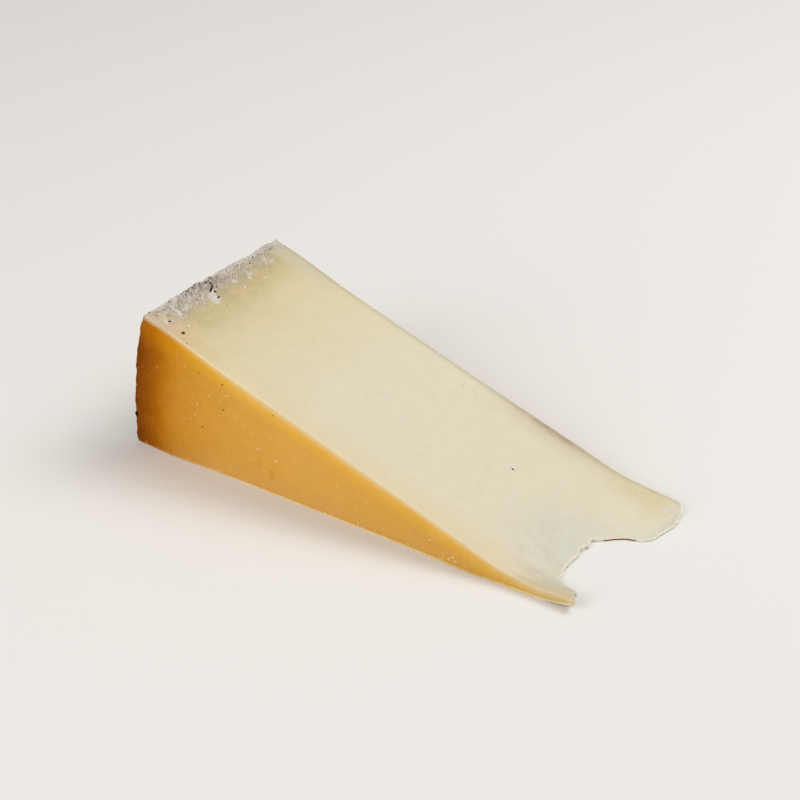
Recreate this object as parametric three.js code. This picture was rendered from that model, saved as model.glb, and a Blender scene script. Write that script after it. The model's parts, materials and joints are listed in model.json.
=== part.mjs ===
// A cheese wedge: a thin slice of a round wheel, lying on one of its two cut faces, with its tip bitten off.
//
// Millimetres, +Z up. The wedge lies along X, with the rind at -X and the bitten tip at +X, and rests on
// Z = 0. The wheel's axis ran along Y, so its two flat sides are the wedge's flanks, at -Y and +Y, and its
// round side is the rind. While the shape is worked out, X = 0 is the line in which the two cut faces would
// meet and Y = 0 is the front flank. At the end the solid is moved to its reference point, the middle of
// its footprint.
import * as THREE from 'three';
import { mergeVertices } from 'three/addons/utils/BufferGeometryUtils.js';

// The wheel that the wedge was cut from.
const WHEEL_RADIUS = 170.9;
const WHEEL_THICKNESS = 74.1;
const WHEEL_AXIS_HEIGHT = 8;
const CUT_ANGLE = THREE.MathUtils.degToRad(17.3);

// The rind end: how far its corners are worn back, and how rough its crust is.
const CORNER_WEAR = 1.0;
const CORNER_WEAR_WIDTH = 2.5;
const CRUST_RELIEF = 0.55;
const CRUST_WIDTH = 10;
const CRUST_LIFT = 0.3;

// The upper cut face isn't quite flat: it swells at the rind, and is a little high in front, low behind.
const RIND_SWELL_FRONT = 1.2;
const RIND_SWELL_BACK = 0.7;
const RIND_SWELL_AT = 17;
const RIND_SWELL_WIDTH = 13;
const FACE_BULGE_FRONT = 0.5;
const FACE_BULGE_BACK = -0.7;

// The foot of the front flank spreads a little, most near the rind and near the tip, and not under the horn.
const FOOT_SPREAD = 0.3;
const FOOT_END = 2;
const FOOT_FADE = 6;
const FOOT_BULGES = [
    { at: -30, width: 16, out: 0.9 },
    { at: -152, width: 8, out: 0.6 },
];

// The bitten edge in plan, from the front horn round the bite to the back tongue: [Y, X].
const BITTEN_EDGE = [
    [0, 10.9], [1.2, 11.4], [2.8, 9.9], [5, 9.5], [6.2, 7.8], [7.7, 4.4], [9.7, 1.8], [11.5, -0.6],
    [14, -2.2], [17.5, -3.5], [21, -4.5], [28, -4.5], [31, -5.4], [35, -4.4], [38.7, -5.6], [40.5, -3.6],
    [43.7, 0.2], [46.2, 2.6], [48.4, 7.4], [50.4, 10.7], [54, 11.2], [58.3, 11.8], [63, 12.4], [66, 12.1],
    [69.5, 11.4], [72, 10.4], [73.5, 8.8], [74.1, 7.2],
];
const TOOTH_MARK = 0.35;
const EDGE_THICKNESS = 0.7;

// The front horn: its upper edge rises from a low point, its underside curls off the ground.
const HORN_LOW = { at: -8.5, height: 4.0 };
const HORN_RISE = 0.075;
const HORN_WIDTH = 15;
const HORN_CURL = 0.046;
const HORN_CURL_START = -1;
const HORN_CURL_POWER = 1.62;

// The back tongue: its upper edge falls slowly, and its end is bevelled.
const TONGUE_HEIGHT = 3.1;
const TONGUE_FALL = 0.1;
const TONGUE_START = 43;
const TONGUE_WIDTH = 20;
const BEVEL_WIDTH = 2.6;

// How far below the join of two surfaces the round between them starts.
const BLEND = 0.5;

// Segments along the wedge, in its three stretches, then across the bitten edge and up the flanks.
const CRUST_SEGMENTS = 6;
const BODY_SEGMENTS = 12;
const TIP_SEGMENTS = 15;
const ACROSS_SEGMENTS = 44;
const UP_SEGMENTS = 9;
const CRUST_STRETCH = 12;
const TIP_STRETCH = 30;
const OUTLINE_STEPS = 600;

const clamp01 = (value) => THREE.MathUtils.clamp(value, 0, 1);
const mix = THREE.MathUtils.lerp;
const smooth = (value) => THREE.MathUtils.smoothstep(value, 0, 1);
const bump = (distance, width) => Math.exp(-((distance / width) ** 2));

// The larger of two heights, with a round of the given size where they cross.
function roundMax(a, b, size) {
    const spread = Math.max(size - Math.abs(a - b), 0) / size;
    return Math.max(a, b) + spread * spread * size / 4;
}

const bittenCurve = new THREE.CatmullRomCurve3(
    BITTEN_EDGE.map(([y, x]) => new THREE.Vector3(x, y, 0)),
    false,
    'centripetal',
);

// The bitten edge as evenly spaced stations from front to back, each nudged in and out by tooth marks.
function bittenStations() {
    bittenCurve.arcLengthDivisions = OUTLINE_STEPS;
    return bittenCurve.getSpacedPoints(ACROSS_SEGMENTS).map((point, index) => ({
        y: point.y,
        x: point.x + TOOTH_MARK * Math.sin(2.4 * index) * Math.sin(1.1 * index + 0.6),
    }));
}

// Crust relief at a place on the rind, between -1 and 1: two crossed sets of uneven ridges.
function crags(y, z) {
    const first = Math.sin(0.71 * y + 1.7 * Math.sin(0.23 * z + 0.4));
    const second = Math.sin(0.63 * z + 1.9 * Math.sin(0.31 * y + 1.1));
    return 0.6 * first * second + 0.4 * Math.sin(1.27 * y - 0.9 * z);
}

// The round side of the wheel: X of the rind at a height, worn back at its two corners and cragged.
function rindX(y, z) {
    const arc = -Math.sqrt(WHEEL_RADIUS ** 2 - (z - WHEEL_AXIS_HEIGHT) ** 2);
    const corner = Math.min(y, WHEEL_THICKNESS - y);
    const wear = CORNER_WEAR * bump(corner, CORNER_WEAR_WIDTH);
    return arc + wear + CRUST_RELIEF * crags(y, z);
}

// How far the front horn reaches across at a Y: 1 on the front flank, 0 beyond the horn.
const hornShare = (y) => 1 - smooth(y / HORN_WIDTH);

// How far a point lies into the back tongue: 0 in front of the bite's back corner, 1 well inside.
const tongueShare = (y) => smooth((y - TONGUE_START) / TONGUE_WIDTH);

// The underside: flat on the ground but for the horn's curl.
function underside(x, y) {
    const past = Math.max(x - HORN_CURL_START, 0);
    return HORN_CURL * past ** HORN_CURL_POWER * hornShare(y);
}

// The upper cut face: the sloping cut, its swells, the two raised forms at the tip and the crust's edge.
function upperFace(x, y, edgeX) {
    const across = y / WHEEL_THICKNESS;
    const fromRind = x + WHEEL_RADIUS;
    const swell = mix(RIND_SWELL_FRONT, RIND_SWELL_BACK, across)
        * bump(fromRind - RIND_SWELL_AT, RIND_SWELL_WIDTH);
    const bulge = mix(FACE_BULGE_FRONT, FACE_BULGE_BACK, across)
        * Math.sin(Math.PI * clamp01(fromRind / WHEEL_RADIUS));
    const crust = CRUST_LIFT * crags(y, 0.8 * x) * (1 - smooth(fromRind / CRUST_WIDTH - 0.5));
    const cut = -x * Math.tan(CUT_ANGLE) + swell + bulge + crust;

    const floor = underside(x, y);
    const horn = (HORN_LOW.height + HORN_RISE * (x - HORN_LOW.at) - EDGE_THICKNESS) * hornShare(y);
    const bevel = smooth((edgeX - x) / BEVEL_WIDTH);
    const tongue = (TONGUE_HEIGHT - TONGUE_FALL * x - EDGE_THICKNESS) * tongueShare(y) * bevel;
    const lip = Math.max(EDGE_THICKNESS + horn + tongue, floor + EDGE_THICKNESS);
    return roundMax(cut, lip, BLEND);
}

// How far the front flank's foot stands out at an X and a share of the height.
function footSpread(x, up) {
    const bulges = FOOT_BULGES.map((foot) => foot.out * bump(x - foot.at, foot.width));
    const spread = bulges.reduce((sum, out) => sum + out, FOOT_SPREAD);
    const fade = smooth((FOOT_END - x) / FOOT_FADE);
    return spread * fade * (1 - up) ** 2;
}

// Shares of the way from rind to tip, close together in the crust and at the bitten end.
function stationsAlong() {
    const shares = [];
    const crust = CRUST_STRETCH / WHEEL_RADIUS;
    const tip = 1 - TIP_STRETCH / WHEEL_RADIUS;
    for (let i = 0; i < CRUST_SEGMENTS; i += 1) {
        shares.push(crust * i / CRUST_SEGMENTS);
    }
    for (let i = 0; i < BODY_SEGMENTS; i += 1) {
        shares.push(mix(crust, tip, i / BODY_SEGMENTS));
    }
    for (let i = 0; i <= TIP_SEGMENTS; i += 1) {
        shares.push(mix(tip, 1, i / TIP_SEGMENTS));
    }
    return shares;
}

const ALONG = stationsAlong();
const EDGE = bittenStations();

// The point of the wedge at station i along it, j across it from the front, k up it.
function wedgePoint(i, j, k) {
    const up = k / UP_SEGMENTS;
    const { x: edgeX, y } = EDGE[j];
    const rindTop = WHEEL_RADIUS * Math.sin(CUT_ANGLE);
    const x = mix(rindX(y, up * rindTop), edgeX, ALONG[i]);
    const z = mix(underside(x, y), upperFace(x, y, edgeX), up);
    return new THREE.Vector3(x, y - hornShare(y) * footSpread(x, up), z);
}

// One face of the wedge as a grid of triangles that points out, given its corner for two station counts.
function addFace(positions, columns, rows, pointAt) {
    for (let a = 0; a < columns; a += 1) {
        for (let b = 0; b < rows; b += 1) {
            const [p, q, r, s] = [pointAt(a, b), pointAt(a + 1, b), pointAt(a + 1, b + 1), pointAt(a, b + 1)];
            [p, q, r, p, r, s].forEach((corner) => positions.push(corner.x, corner.y, corner.z));
        }
    }
}

// The wedge's six faces, joined into one closed solid and moved to the middle of its footprint.
function wedgeGeometry() {
    const positions = [];
    const last = { i: ALONG.length - 1, j: ACROSS_SEGMENTS, k: UP_SEGMENTS };
    addFace(positions, last.j, last.i, (j, i) => wedgePoint(i, j, 0));
    addFace(positions, last.i, last.j, (i, j) => wedgePoint(i, j, last.k));
    addFace(positions, last.i, last.k, (i, k) => wedgePoint(i, 0, k));
    addFace(positions, last.k, last.i, (k, i) => wedgePoint(i, last.j, k));
    addFace(positions, last.k, last.j, (k, j) => wedgePoint(0, j, k));
    addFace(positions, last.j, last.k, (j, k) => wedgePoint(last.i, j, k));

    const loose = new THREE.BufferGeometry();
    loose.setAttribute('position', new THREE.Float32BufferAttribute(positions, 3));
    const geometry = mergeVertices(loose, 1e-3);
    geometry.computeBoundingBox();
    const { min, max } = geometry.boundingBox;
    geometry.translate(-(min.x + max.x) / 2, -(min.y + max.y) / 2, -min.z);
    geometry.computeVertexNormals();
    return geometry;
}

const cheese = new THREE.MeshStandardMaterial({ color: 0xe0d7b8, roughness: 0.5, metalness: 0 });
const wedge = new THREE.Mesh(wedgeGeometry(), cheese);
wedge.name = 'cheese_wedge';

const group = new THREE.Group();
group.add(wedge);

export default group;
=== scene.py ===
"""A bitten wedge of hard cheese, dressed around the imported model.

The file is laid out as an add-on and run as a script. Lengths are in metres. The surfaces are worked out in
wedge coordinates, and moved to the model's own frame when they become meshes:

  X  along the wedge, 0 in the line where its two cut faces would meet, rind at about -171 mm, tip at +12 mm
  Y  across the wedge, 0 on the front flank
  Z  up, 0 on the ground

Each point of the wedge's skin also knows how deep it lies behind each face, its gaps: 0 on the face itself.
The materials tell cut face, flank and rind apart by these gaps, which they read in millimetres.
"""

import json
from math import cos, pi, radians, sin, tan

import bpy
import numpy as np
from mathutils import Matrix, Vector
from mathutils.bvhtree import BVHTree

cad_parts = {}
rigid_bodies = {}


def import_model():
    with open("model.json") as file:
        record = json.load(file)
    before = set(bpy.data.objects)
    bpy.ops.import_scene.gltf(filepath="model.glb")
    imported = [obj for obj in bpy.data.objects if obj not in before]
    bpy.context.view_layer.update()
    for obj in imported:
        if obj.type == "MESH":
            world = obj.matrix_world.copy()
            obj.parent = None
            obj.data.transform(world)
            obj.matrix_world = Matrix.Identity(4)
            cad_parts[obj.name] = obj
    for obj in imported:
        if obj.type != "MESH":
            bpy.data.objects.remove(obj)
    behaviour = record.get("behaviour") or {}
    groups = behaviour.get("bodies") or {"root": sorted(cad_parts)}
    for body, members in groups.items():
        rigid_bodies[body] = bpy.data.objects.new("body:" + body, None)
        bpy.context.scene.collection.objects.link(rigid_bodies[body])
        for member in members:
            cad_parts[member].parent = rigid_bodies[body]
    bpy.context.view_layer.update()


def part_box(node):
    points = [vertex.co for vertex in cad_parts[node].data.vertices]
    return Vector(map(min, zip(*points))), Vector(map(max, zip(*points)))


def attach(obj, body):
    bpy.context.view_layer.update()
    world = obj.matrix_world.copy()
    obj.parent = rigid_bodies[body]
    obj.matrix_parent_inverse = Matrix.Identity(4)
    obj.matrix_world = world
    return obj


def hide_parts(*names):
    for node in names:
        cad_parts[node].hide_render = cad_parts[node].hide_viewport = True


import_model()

bl_info = {
    "name": "Cheese Wedge",
    "version": (1, 0, 0),
    "blender": (4, 5, 0),
    "location": "View3D > Sidebar > Cheese",
    "description": "Builds a bitten wedge of hard cheese, its crust, specks and crumbs, and its studio",
    "category": "Add Mesh",
}

MM = 0.001
BODY = "root"
NODE = "cheese_wedge"
WEDGE_NAME = "wedge"
MODEL_LOW, MODEL_HIGH = (np.array(corner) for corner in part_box(NODE))


def srgb(red, green, blue):
    """Scene-linear colour of a display colour given in steps of 0 to 255."""
    shares = np.array([red, green, blue]) / 255
    linear = np.where(shares <= 0.04045, shares / 12.92, ((shares + 0.055) / 1.055) ** 2.4)
    return tuple(float(value) for value in linear)


# --- What a user can change -----------------------------------------------------------------------


def length(name, millimetres, description):
    """A length property, its default given in millimetres."""
    return bpy.props.FloatProperty(
        name=name, description=description, default=millimetres * MM, unit="LENGTH", precision=4
    )


def number(name, default, description):
    """A plain number property."""
    return bpy.props.FloatProperty(name=name, description=description, default=default)


def count(name, default, description):
    """A whole number property, never below nothing."""
    return bpy.props.IntProperty(name=name, description=description, default=default, min=0)


def angle(name, degrees, description):
    """An angle property, its default given in degrees."""
    return bpy.props.FloatProperty(
        name=name, description=description, default=radians(degrees), subtype="ANGLE"
    )


def colour(name, steps, description):
    """A colour property, its default given as a display colour in steps of 0 to 255."""
    return bpy.props.FloatVectorProperty(
        name=name, description=description, default=srgb(*steps), subtype="COLOR", size=3, min=0, max=1
    )


class WedgeSizes(bpy.types.PropertyGroup):
    """The wheel the wedge was cut from, and the marks of knife, teeth and age on it."""

    wheel_radius: length("Wheel radius", 170.9, "From the wheel's axis to its rind")
    wheel_thickness: length("Wheel thickness", 74.1, "Between the wheel's flat sides")
    wheel_axis_height: length("Axis height", 8, "Of the middle of the rind's curve over the ground")
    cut_angle: angle("Cut angle", 17.3, "Between the two cut faces")
    tongue_reach: length("Tongue reach", 12.43, "Of the back tongue past the meeting line")
    rim_wear: length("Rim wear", 0.55, "How far the rind's upper rim is worn back")
    edge_round: length("Edge round", 0.35, "Radius of the wedge's long edges")
    rind_round: length("Rind round", 0.7, "Radius of the edges round the rind")
    lip: length("Bitten edge", 0.7, "Thickness of the bitten edge")
    crust_width: length("Crust width", 9, "Of the crusty strip on the cut faces beside the rind")
    crust_relief: length("Crust relief", 0.45, "Height of the crust's crags")
    face_relief: length("Face relief", 0.05, "Unevenness of the cut faces and flanks")
    tooth_mark: length("Tooth marks", 0.35, "Depth of the serrations on the bitten edge")


class SpeckCounts(bpy.types.PropertyGroup):
    """How many small things lie on the wedge besides the ones with a set place."""

    fibres: count("White fibres", 380, "Slivers on the crust")
    rim_flakes: count("Rim flakes", 80, "Flakes on the rind's upper rim")
    rind_flakes: count("Rind flakes", 110, "Flakes of bloom on the rind")
    dark_specks: count("Dark specks", 70, "Specks in the crust")
    rind_pores: count("Rind pores", 170, "Pores and short cracks in the rind")
    hairs: count("Hairs", 200, "Faint hairs and crystals on the back flank, half as many in front")
    foot_crumbs: count("Foot crumbs", 60, "Crumbs along the foot of both flanks")
    bite_crumbs: count("Bite crumbs", 70, "Crumbs along the bitten edge")


class CheeseColours(bpy.types.PropertyGroup):
    """Colours of the paste, the flanks, the crust and what lies on them."""

    paste: colour("Paste", (225, 216, 190), "The cut faces")
    # Warm paste along the front edge is painted glow of light through the amber flank beneath; it also tints
    # the paste's mottle.
    paste_warm: colour("Warm paste", (228, 208, 168), "The cut face beside the front flank")
    paste_corner_warm: colour("Warm corner", (211, 184, 136), "The front corner inside the crust")
    paste_cool: colour("Cool paste", (214, 212, 197), "The thin paste beside the bite")
    paste_tongue: colour("Tongue", (213, 198, 154), "The yellower paste of the tongue")
    # Painted shade on the horn's upper side and beside its fold line; the smudges near the bite share the
    # first colour.
    horn_shade_and_smudges: colour("Horn", (201, 191, 169), "The horn's upper side")
    horn_fold_shade: colour("Horn fold", (202, 183, 140), "The horn beside its fold line")
    horn_end: colour("Horn end", (214, 198, 160), "The horn's bitten end")
    paste_aged: colour("Aged paste", (199, 180, 136), "The glassy olive band beside the crust")
    paste_dusk: colour("Dusky paste", (188, 178, 152), "The paste along the back edge")
    paste_corner: colour("Corner paste", (206, 198, 172), "The greyer paste at the back corner")
    # Shade is painted shade: the pinkish darkening along part of the back edge of the cut face.
    pink: colour("Pink paste", (208, 182, 154), "The front corner beside the crust")
    shade: colour("Shade", (160, 126, 98), "The pinkish stain on the back edge")
    # The three glow colours are painted light: light shining through the flanks' thin upper edge.
    glow: colour("Glow", (226, 206, 164), "The upper edge of the flanks")
    glow_low: colour("Low glow", (228, 184, 92), "Where that glow fades into the flank")
    glow_crust: colour("Dusky glow", (206, 182, 150), "The flanks' upper edge beside the rind")
    amber: colour("Amber", (218, 164, 76), "The flanks")
    # Painted light: the brighter upper band of the flanks, lit through the paste above.
    amber_lit: colour("Bright amber", (229, 171, 60), "The upper band of the flanks")
    amber_foot: colour("Amber foot", (213, 164, 87), "The lowest band of the flanks")
    amber_dark: colour("Dark amber", (118, 56, 0), "The flanks beside the rind")
    amber_tip: colour("Thin amber", (208, 183, 128), "The flanks at the tip")
    hair: colour("Hairs", (238, 208, 150), "The fine hairs in the flanks")
    # Edge line: painted highlight along the upper edges, which are partly worn and crumbly.
    edge_highlight: colour("Edge line", (238, 224, 190), "The rubbed upper edges")
    # Foot line: painted highlight along the lower edges, partly a worn lip.
    foot_highlight: colour("Foot line", (250, 222, 164), "The rubbed lower edges")
    undercut: colour("Undercut", (142, 88, 14), "The shaded wall of the bite")
    crust_grey: colour("Grey crust", (184, 171, 152), "The crust")
    crust_warm: colour("Warm crust", (193, 170, 142), "The crust at the front corner")
    crust_dusk: colour("Dusky crust", (156, 143, 131), "The crust's grey middle")
    crust_dark: colour("Dark crust", (118, 100, 84), "The hollows of the crust")
    crust_white: colour("White crust", (224, 219, 209), "The dry white fibres of the crust")
    rind_brown: colour("Brown rind", (144, 122, 93), "The rind")
    rind_grey: colour("Grey rind", (172, 160, 140), "The clouds on the rind")
    rind_pore: colour("Pores", (74, 54, 42), "The dark pores in the rind")
    mould: colour("Mould", (28, 14, 6), "The dark cracks and spots")
    rust: colour("Rusty spot", (128, 72, 22), "The brown dots")
    rust_dark: colour("Dark rust", (64, 34, 12), "The middle of the brown dots")
    amber_dot: colour("Amber dot", (150, 86, 2), "The dots in the flanks")
    ring: colour("Stain rings", (186, 120, 34), "The two rings near the front foot")
    crystal: colour("Crystal", (238, 203, 134), "The light flecks in the flanks")
    crystal_dark: colour("Dark crystal", (178, 118, 40), "The flecks beside the rind")
    fibre: colour("Fibre", (222, 215, 203), "The slivers and scrapes of the crust")
    fibre_shade: colour("Dull fibre", (196, 186, 170), "Their darker parts")
    # This colour is also the painted highlight along the back and bitten edges.
    crumb_and_highlight: colour("Crumb", (240, 235, 216), "The crumbs and flakes")


class StageSettings(bpy.types.PropertyGroup):
    """Where the camera stands and how strong the lamps are."""

    azimuth: angle("Azimuth", 35.87, "Of the camera, from straight in front towards the tip")
    elevation: angle("Elevation", 29.49, "Of the camera over the ground")
    distance: length("Distance", 817.6, "From the camera to what it looks at")
    lens: number("Lens", 108.0, "Focal length in millimetres on a 36 mm sensor")
    target_x: length("Look at X", -3.3, "In the model's frame")
    target_y: length("Look at Y", 0.6, "In the model's frame")
    target_z: length("Look at Z", 28.76, "In the model's frame")
    key_power: number("Key lamp", 6.5, "Watts of the lamp above and behind")
    fill_power: number("Fill lamp", 6.5, "Watts of the lamp in front")
    world_light: number("World light", 0.45, "Brightness of the pale room")
    floor_colour: colour("Floor", (236, 233, 228), "The pale floor")


# --- The wedge's form -----------------------------------------------------------------------------

# The bitten edge in plan, from the front horn round the bite to the back tongue, as (Y, X) in millimetres.
BITTEN_EDGE = (
    (0, 10.4), (0.4, 11.1), (1, 11.4), (1.6, 10.9), (2.2, 9.9), (2.9, 9.2), (3.6, 9.2), (4.3, 9.7),
    (4.9, 9.6), (6.3, 7.4), (7.5, 4.8), (9.8, 1.7), (12.3, -1.1), (14.1, -2), (15.6, -2.2), (17.3, -3.1),
    (20.3, -3.9), (21.2, -3.7), (24.3, -3.9), (27.6, -4), (30.6, -5.3), (31.6, -4.5), (33.3, -4.8),
    (34.3, -4), (36, -4.9), (38.2, -5.2), (39.3, -4), (41, -2), (43.4, 0.3), (45, 2), (46, 3.8),
    (47.2, 6.6), (48.2, 8.7), (50.4, 10.6), (51.4, 11.2), (52.6, 11.3), (54.4, 11.2), (56.3, 11.6),
    (60.3, 12.2), (62.8, 12.5), (63.6, 12.1), (65, 11.9), (67.2, 11.5), (68.9, 11), (72, 9.5), (73.4, 8.4),
    (74.1, 7.2),
)  # fmt: skip
OUTLINE_STEPS = 12

# The upper cut face: its swell beside the rind and its slow bulge, in front and behind.
SWELL_FRONT, SWELL_BACK = 1.2 * MM, 1.0 * MM
SWELL_AT, SWELL_WIDTH = 17 * MM, 13 * MM
BULGE_FRONT, BULGE_BACK = 0.5 * MM, -0.7 * MM

# The front horn, whose underside curls off the ground, and the back tongue with its bevelled end. The lobes
# of the horn's end: (at Y, width, at a share of its height, width of that, how far out).
HORN_LOW_AT, HORN_LOW_HEIGHT, HORN_RISE = -8.5 * MM, 4.0 * MM, 0.075
HORN_WIDTH = 15 * MM
HORN_SHOULDER, HORN_SHOULDER_WIDTH = 0.65 * MM, 3.2 * MM
HORN_SHOULDER_RISE, HORN_SHOULDER_START = 14 * MM, 0.9
HORN_CURL_START, HORN_CURL_LENGTH, HORN_CURL_HEIGHT, HORN_CURL_POWER = -1 * MM, 12.7 * MM, 2.3 * MM, 1.62
HORN_HOLLOW, HORN_HOLLOW_AT, HORN_HOLLOW_WIDTH = 1.2 * MM, 4.7 * MM, 2.0 * MM
HORN_HOLLOW_RISE, HORN_HOLLOW_START = 1.3, -0.3
HORN_END_REACH = 2 * MM
HORN_LOBES = (
    (0 * MM, 0.75 * MM, 0.5, 0.34, 1.1 * MM),
    (1.3 * MM, 0.7 * MM, 0.35, 0.42, -1.5 * MM),
)
TONGUE_HEIGHT, TONGUE_FALL = 3.1 * MM, 0.1
TONGUE_START, TONGUE_WIDTH = 43 * MM, 20 * MM
BEVEL_WIDTH = 2.6 * MM
JOIN_ROUND, HORN_JOIN, TONGUE_JOIN = 0.5 * MM, 3.5 * MM, 1.0 * MM

# The foot of the front flank: (where along X, width, how far out).
FOOT_SPREAD = 0.3 * MM
FOOT_END, FOOT_FADE = 2 * MM, 6 * MM
FOOT_BULGES = ((-30 * MM, 16 * MM, 0.9 * MM), (-152 * MM, 8 * MM, 0.6 * MM))

# The rind's upper rim: how far down its wear reaches, and where it is worn more, (at Y, width, how far).
RIM_WEAR_HEIGHT = 5 * MM
RIM_NOTCHES = (
    (10 * MM, 7 * MM, 0.8 * MM),
    (58 * MM, 2.4 * MM, 1.0 * MM),
    (64 * MM, 1.6 * MM, 0.4 * MM),
    (68 * MM, 2.2 * MM, -0.3 * MM),
)
RIM_RAGGED = 0.45 * MM

# The rind's front corner leans back more and further down: how far, over which width, how far down.
CORNER_WEAR, CORNER_WEAR_WIDTH, CORNER_WEAR_HEIGHT = 0.8 * MM, 4 * MM, 17 * MM

# The tongue's back corner stays thicker than the rest of the bitten edge.
BACK_LIP, BACK_LIP_START, BACK_LIP_WIDTH = 1.1 * MM, 65 * MM, 7 * MM

# The cells of the noises that roughen the wedge, and how strong the finer ones are beside the coarse crags.
TOOTH_CELL, RIM_CELL = 1.9 * MM, 3.4 * MM
CRAG_CELL, FINE_CRAG_CELL, FINE_CRAGS = 3.6 * MM, 1.2 * MM, 0.3
STRAND_CELL, STRANDS, STRAND_START = 0.9 * MM, 0.7, 0.8 * MM
RIPPLE_CELL = 11 * MM
CRUMB_CELL, CRUMBS, CRUMB_REACH = 1.3 * MM, 2, 2.5 * MM
ROUND_WEAR_CELL, ROUND_WEAR = 2.4 * MM, 0.5

# The grid of the skin: cells inside an edge's round, then in each stretch along, across and up the wedge.
# Across, the stations keep clear of the edge rounds, and stations that fall too close together are left out.
# A round is no thicker than a share of the wedge's height there.
ROUND_CELLS = 3
CRUST_CELLS, BODY_CELLS, TIP_CELLS = 58, 56, 48
CRUST_STRETCH, TIP_STRETCH = 16 * MM, 24 * MM
ACROSS_CELLS = 162
UP_CELLS = 54
ROUNDS_CLEAR, CLOSEST_STATIONS = 1.3, 0.05 * MM
THICKEST_ROUND = 0.45

# The crust's fibres lean to the front as they leave the rim, less so beside the front flank.
FIBRE_SLANT_FRONT, FIBRE_SLANT = 0.35, 1.1
FIBRE_TURN, FIBRE_TURN_WIDTH = 7 * MM, 12 * MM

# Chalky patches of the crust, in millimetres: X, Y, half length, half width, turn in degrees, amount. A
# noise makes them ragged.
CHALK_RAGGED, CHALK_CELL = 1.4 * MM, 2.2 * MM
CHALK_PATCHES = (
    (-156, 27.6, 2.9, 2, -25, 1), (-158, 29, 1.9, 1.1, -50, 0.75), (-163.5, 15.4, 2.3, 0.9, -62, 1),
    (-159, 11.1, 4.8, 1.1, -14, 0.85), (-163.2, 8.7, 1.8, 1.2, -30, 0.85), (-159.8, 5.6, 1.8, 1, -20, 0.7),
    (-158.4, 7.2, 2.4, 0.9, -20, 0.5), (-157.2, 3.4, 1.7, 0.8, -20, 1), (-159, 16.4, 3.2, 1.3, -48, 0.6),
    (-160.5, 20.4, 3.6, 1.2, -50, 0.6), (-157.4, 20, 2.4, 0.9, -50, 0.6),
    (-155.9, 22.6, 0.9, 0.6, -30, 0.7), (-158.6, 24.4, 2.8, 1, -50, 0.5), (-162.8, 26, 2.2, 0.9, -60, 0.5),
    (-159.8, 42.6, 1.9, 1.3, -30, 0.6), (-158.2, 41, 1.4, 0.9, -20, 0.9), (-157, 48.4, 2, 1.4, -40, 0.65),
    (-160.2, 47.6, 2, 1.2, -40, 0.45), (-164, 46.5, 1, 4.2, 0, 0.6), (-160.4, 53.4, 1.4, 1, -40, 0.7),
    (-163.2, 55.5, 1.4, 4, 0, 0.8), (-163.7, 61.5, 0.8, 3.5, 0, 0.65), (-158.8, 59.8, 2.6, 0.6, -38, 0.75),
    (-157.7, 62.2, 1.2, 1.2, 0, 0.5), (-152.9, 51.9, 1.2, 0.6, -25, 0.5),
    (-152.7, 63.3, 0.8, 0.4, -20, 0.4), (-151.3, 69, 0.9, 0.35, -50, 0.5),
    (-160.4, 69.8, 2.6, 1.6, -10, 0.6), (-161.8, 72.4, 2.8, 0.9, 0, 0.85),
    (-151.3, 8.5, 0.9, 0.5, -20, 0.7), (6.6, 66, 2.3, 1.5, 20, 0.9), (4.9, 64.6, 1, 0.5, -30, 0.6),
)  # fmt: skip

# The noise repeats after this many cells.
NOISE_PERIOD = 64

# A small lump: its rings, as (place between -1 and 1, radius), the points in a ring, and the least and most
# factor by which a point's place is wobbled.
LUMP_RINGS = ((-0.6, 0.7), (0.1, 1.0), (0.75, 0.65))
LUMP_SIDES = 8
LUMP_WOBBLE = (0.78, 1.22)

# Each side of the wedge: the axis that it faces along, which way is inwards, and the two axes of its plane.
# Lumps are laid on it from far enough away.
SIDES = {
    "top": (2, -1, (0, 1)),
    "base": (2, 1, (0, 1)),
    "front": (1, 1, (0, 2)),
    "back": (1, -1, (0, 2)),
    "rind": (0, 1, (1, 2)),
    "tip": (0, -1, (1, 2)),
}
LOOK_FROM = 300 * MM

# The tables of marks, in millimetres. A row holds the two coordinates of its place, length, width, heading
# in degrees and bend; a heading or bend of 0 at its end is left out. THICK is how thick each kind is. The
# white and dark marks are laid wider than their rows say, because their sides sink into the crust.
THICK = {"white": 0.16, "curl": 0.12, "bright": 0.2, "dark": 0.28, "dot": 0.14, "flank": 0.1}
WIDER = 1.3

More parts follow.
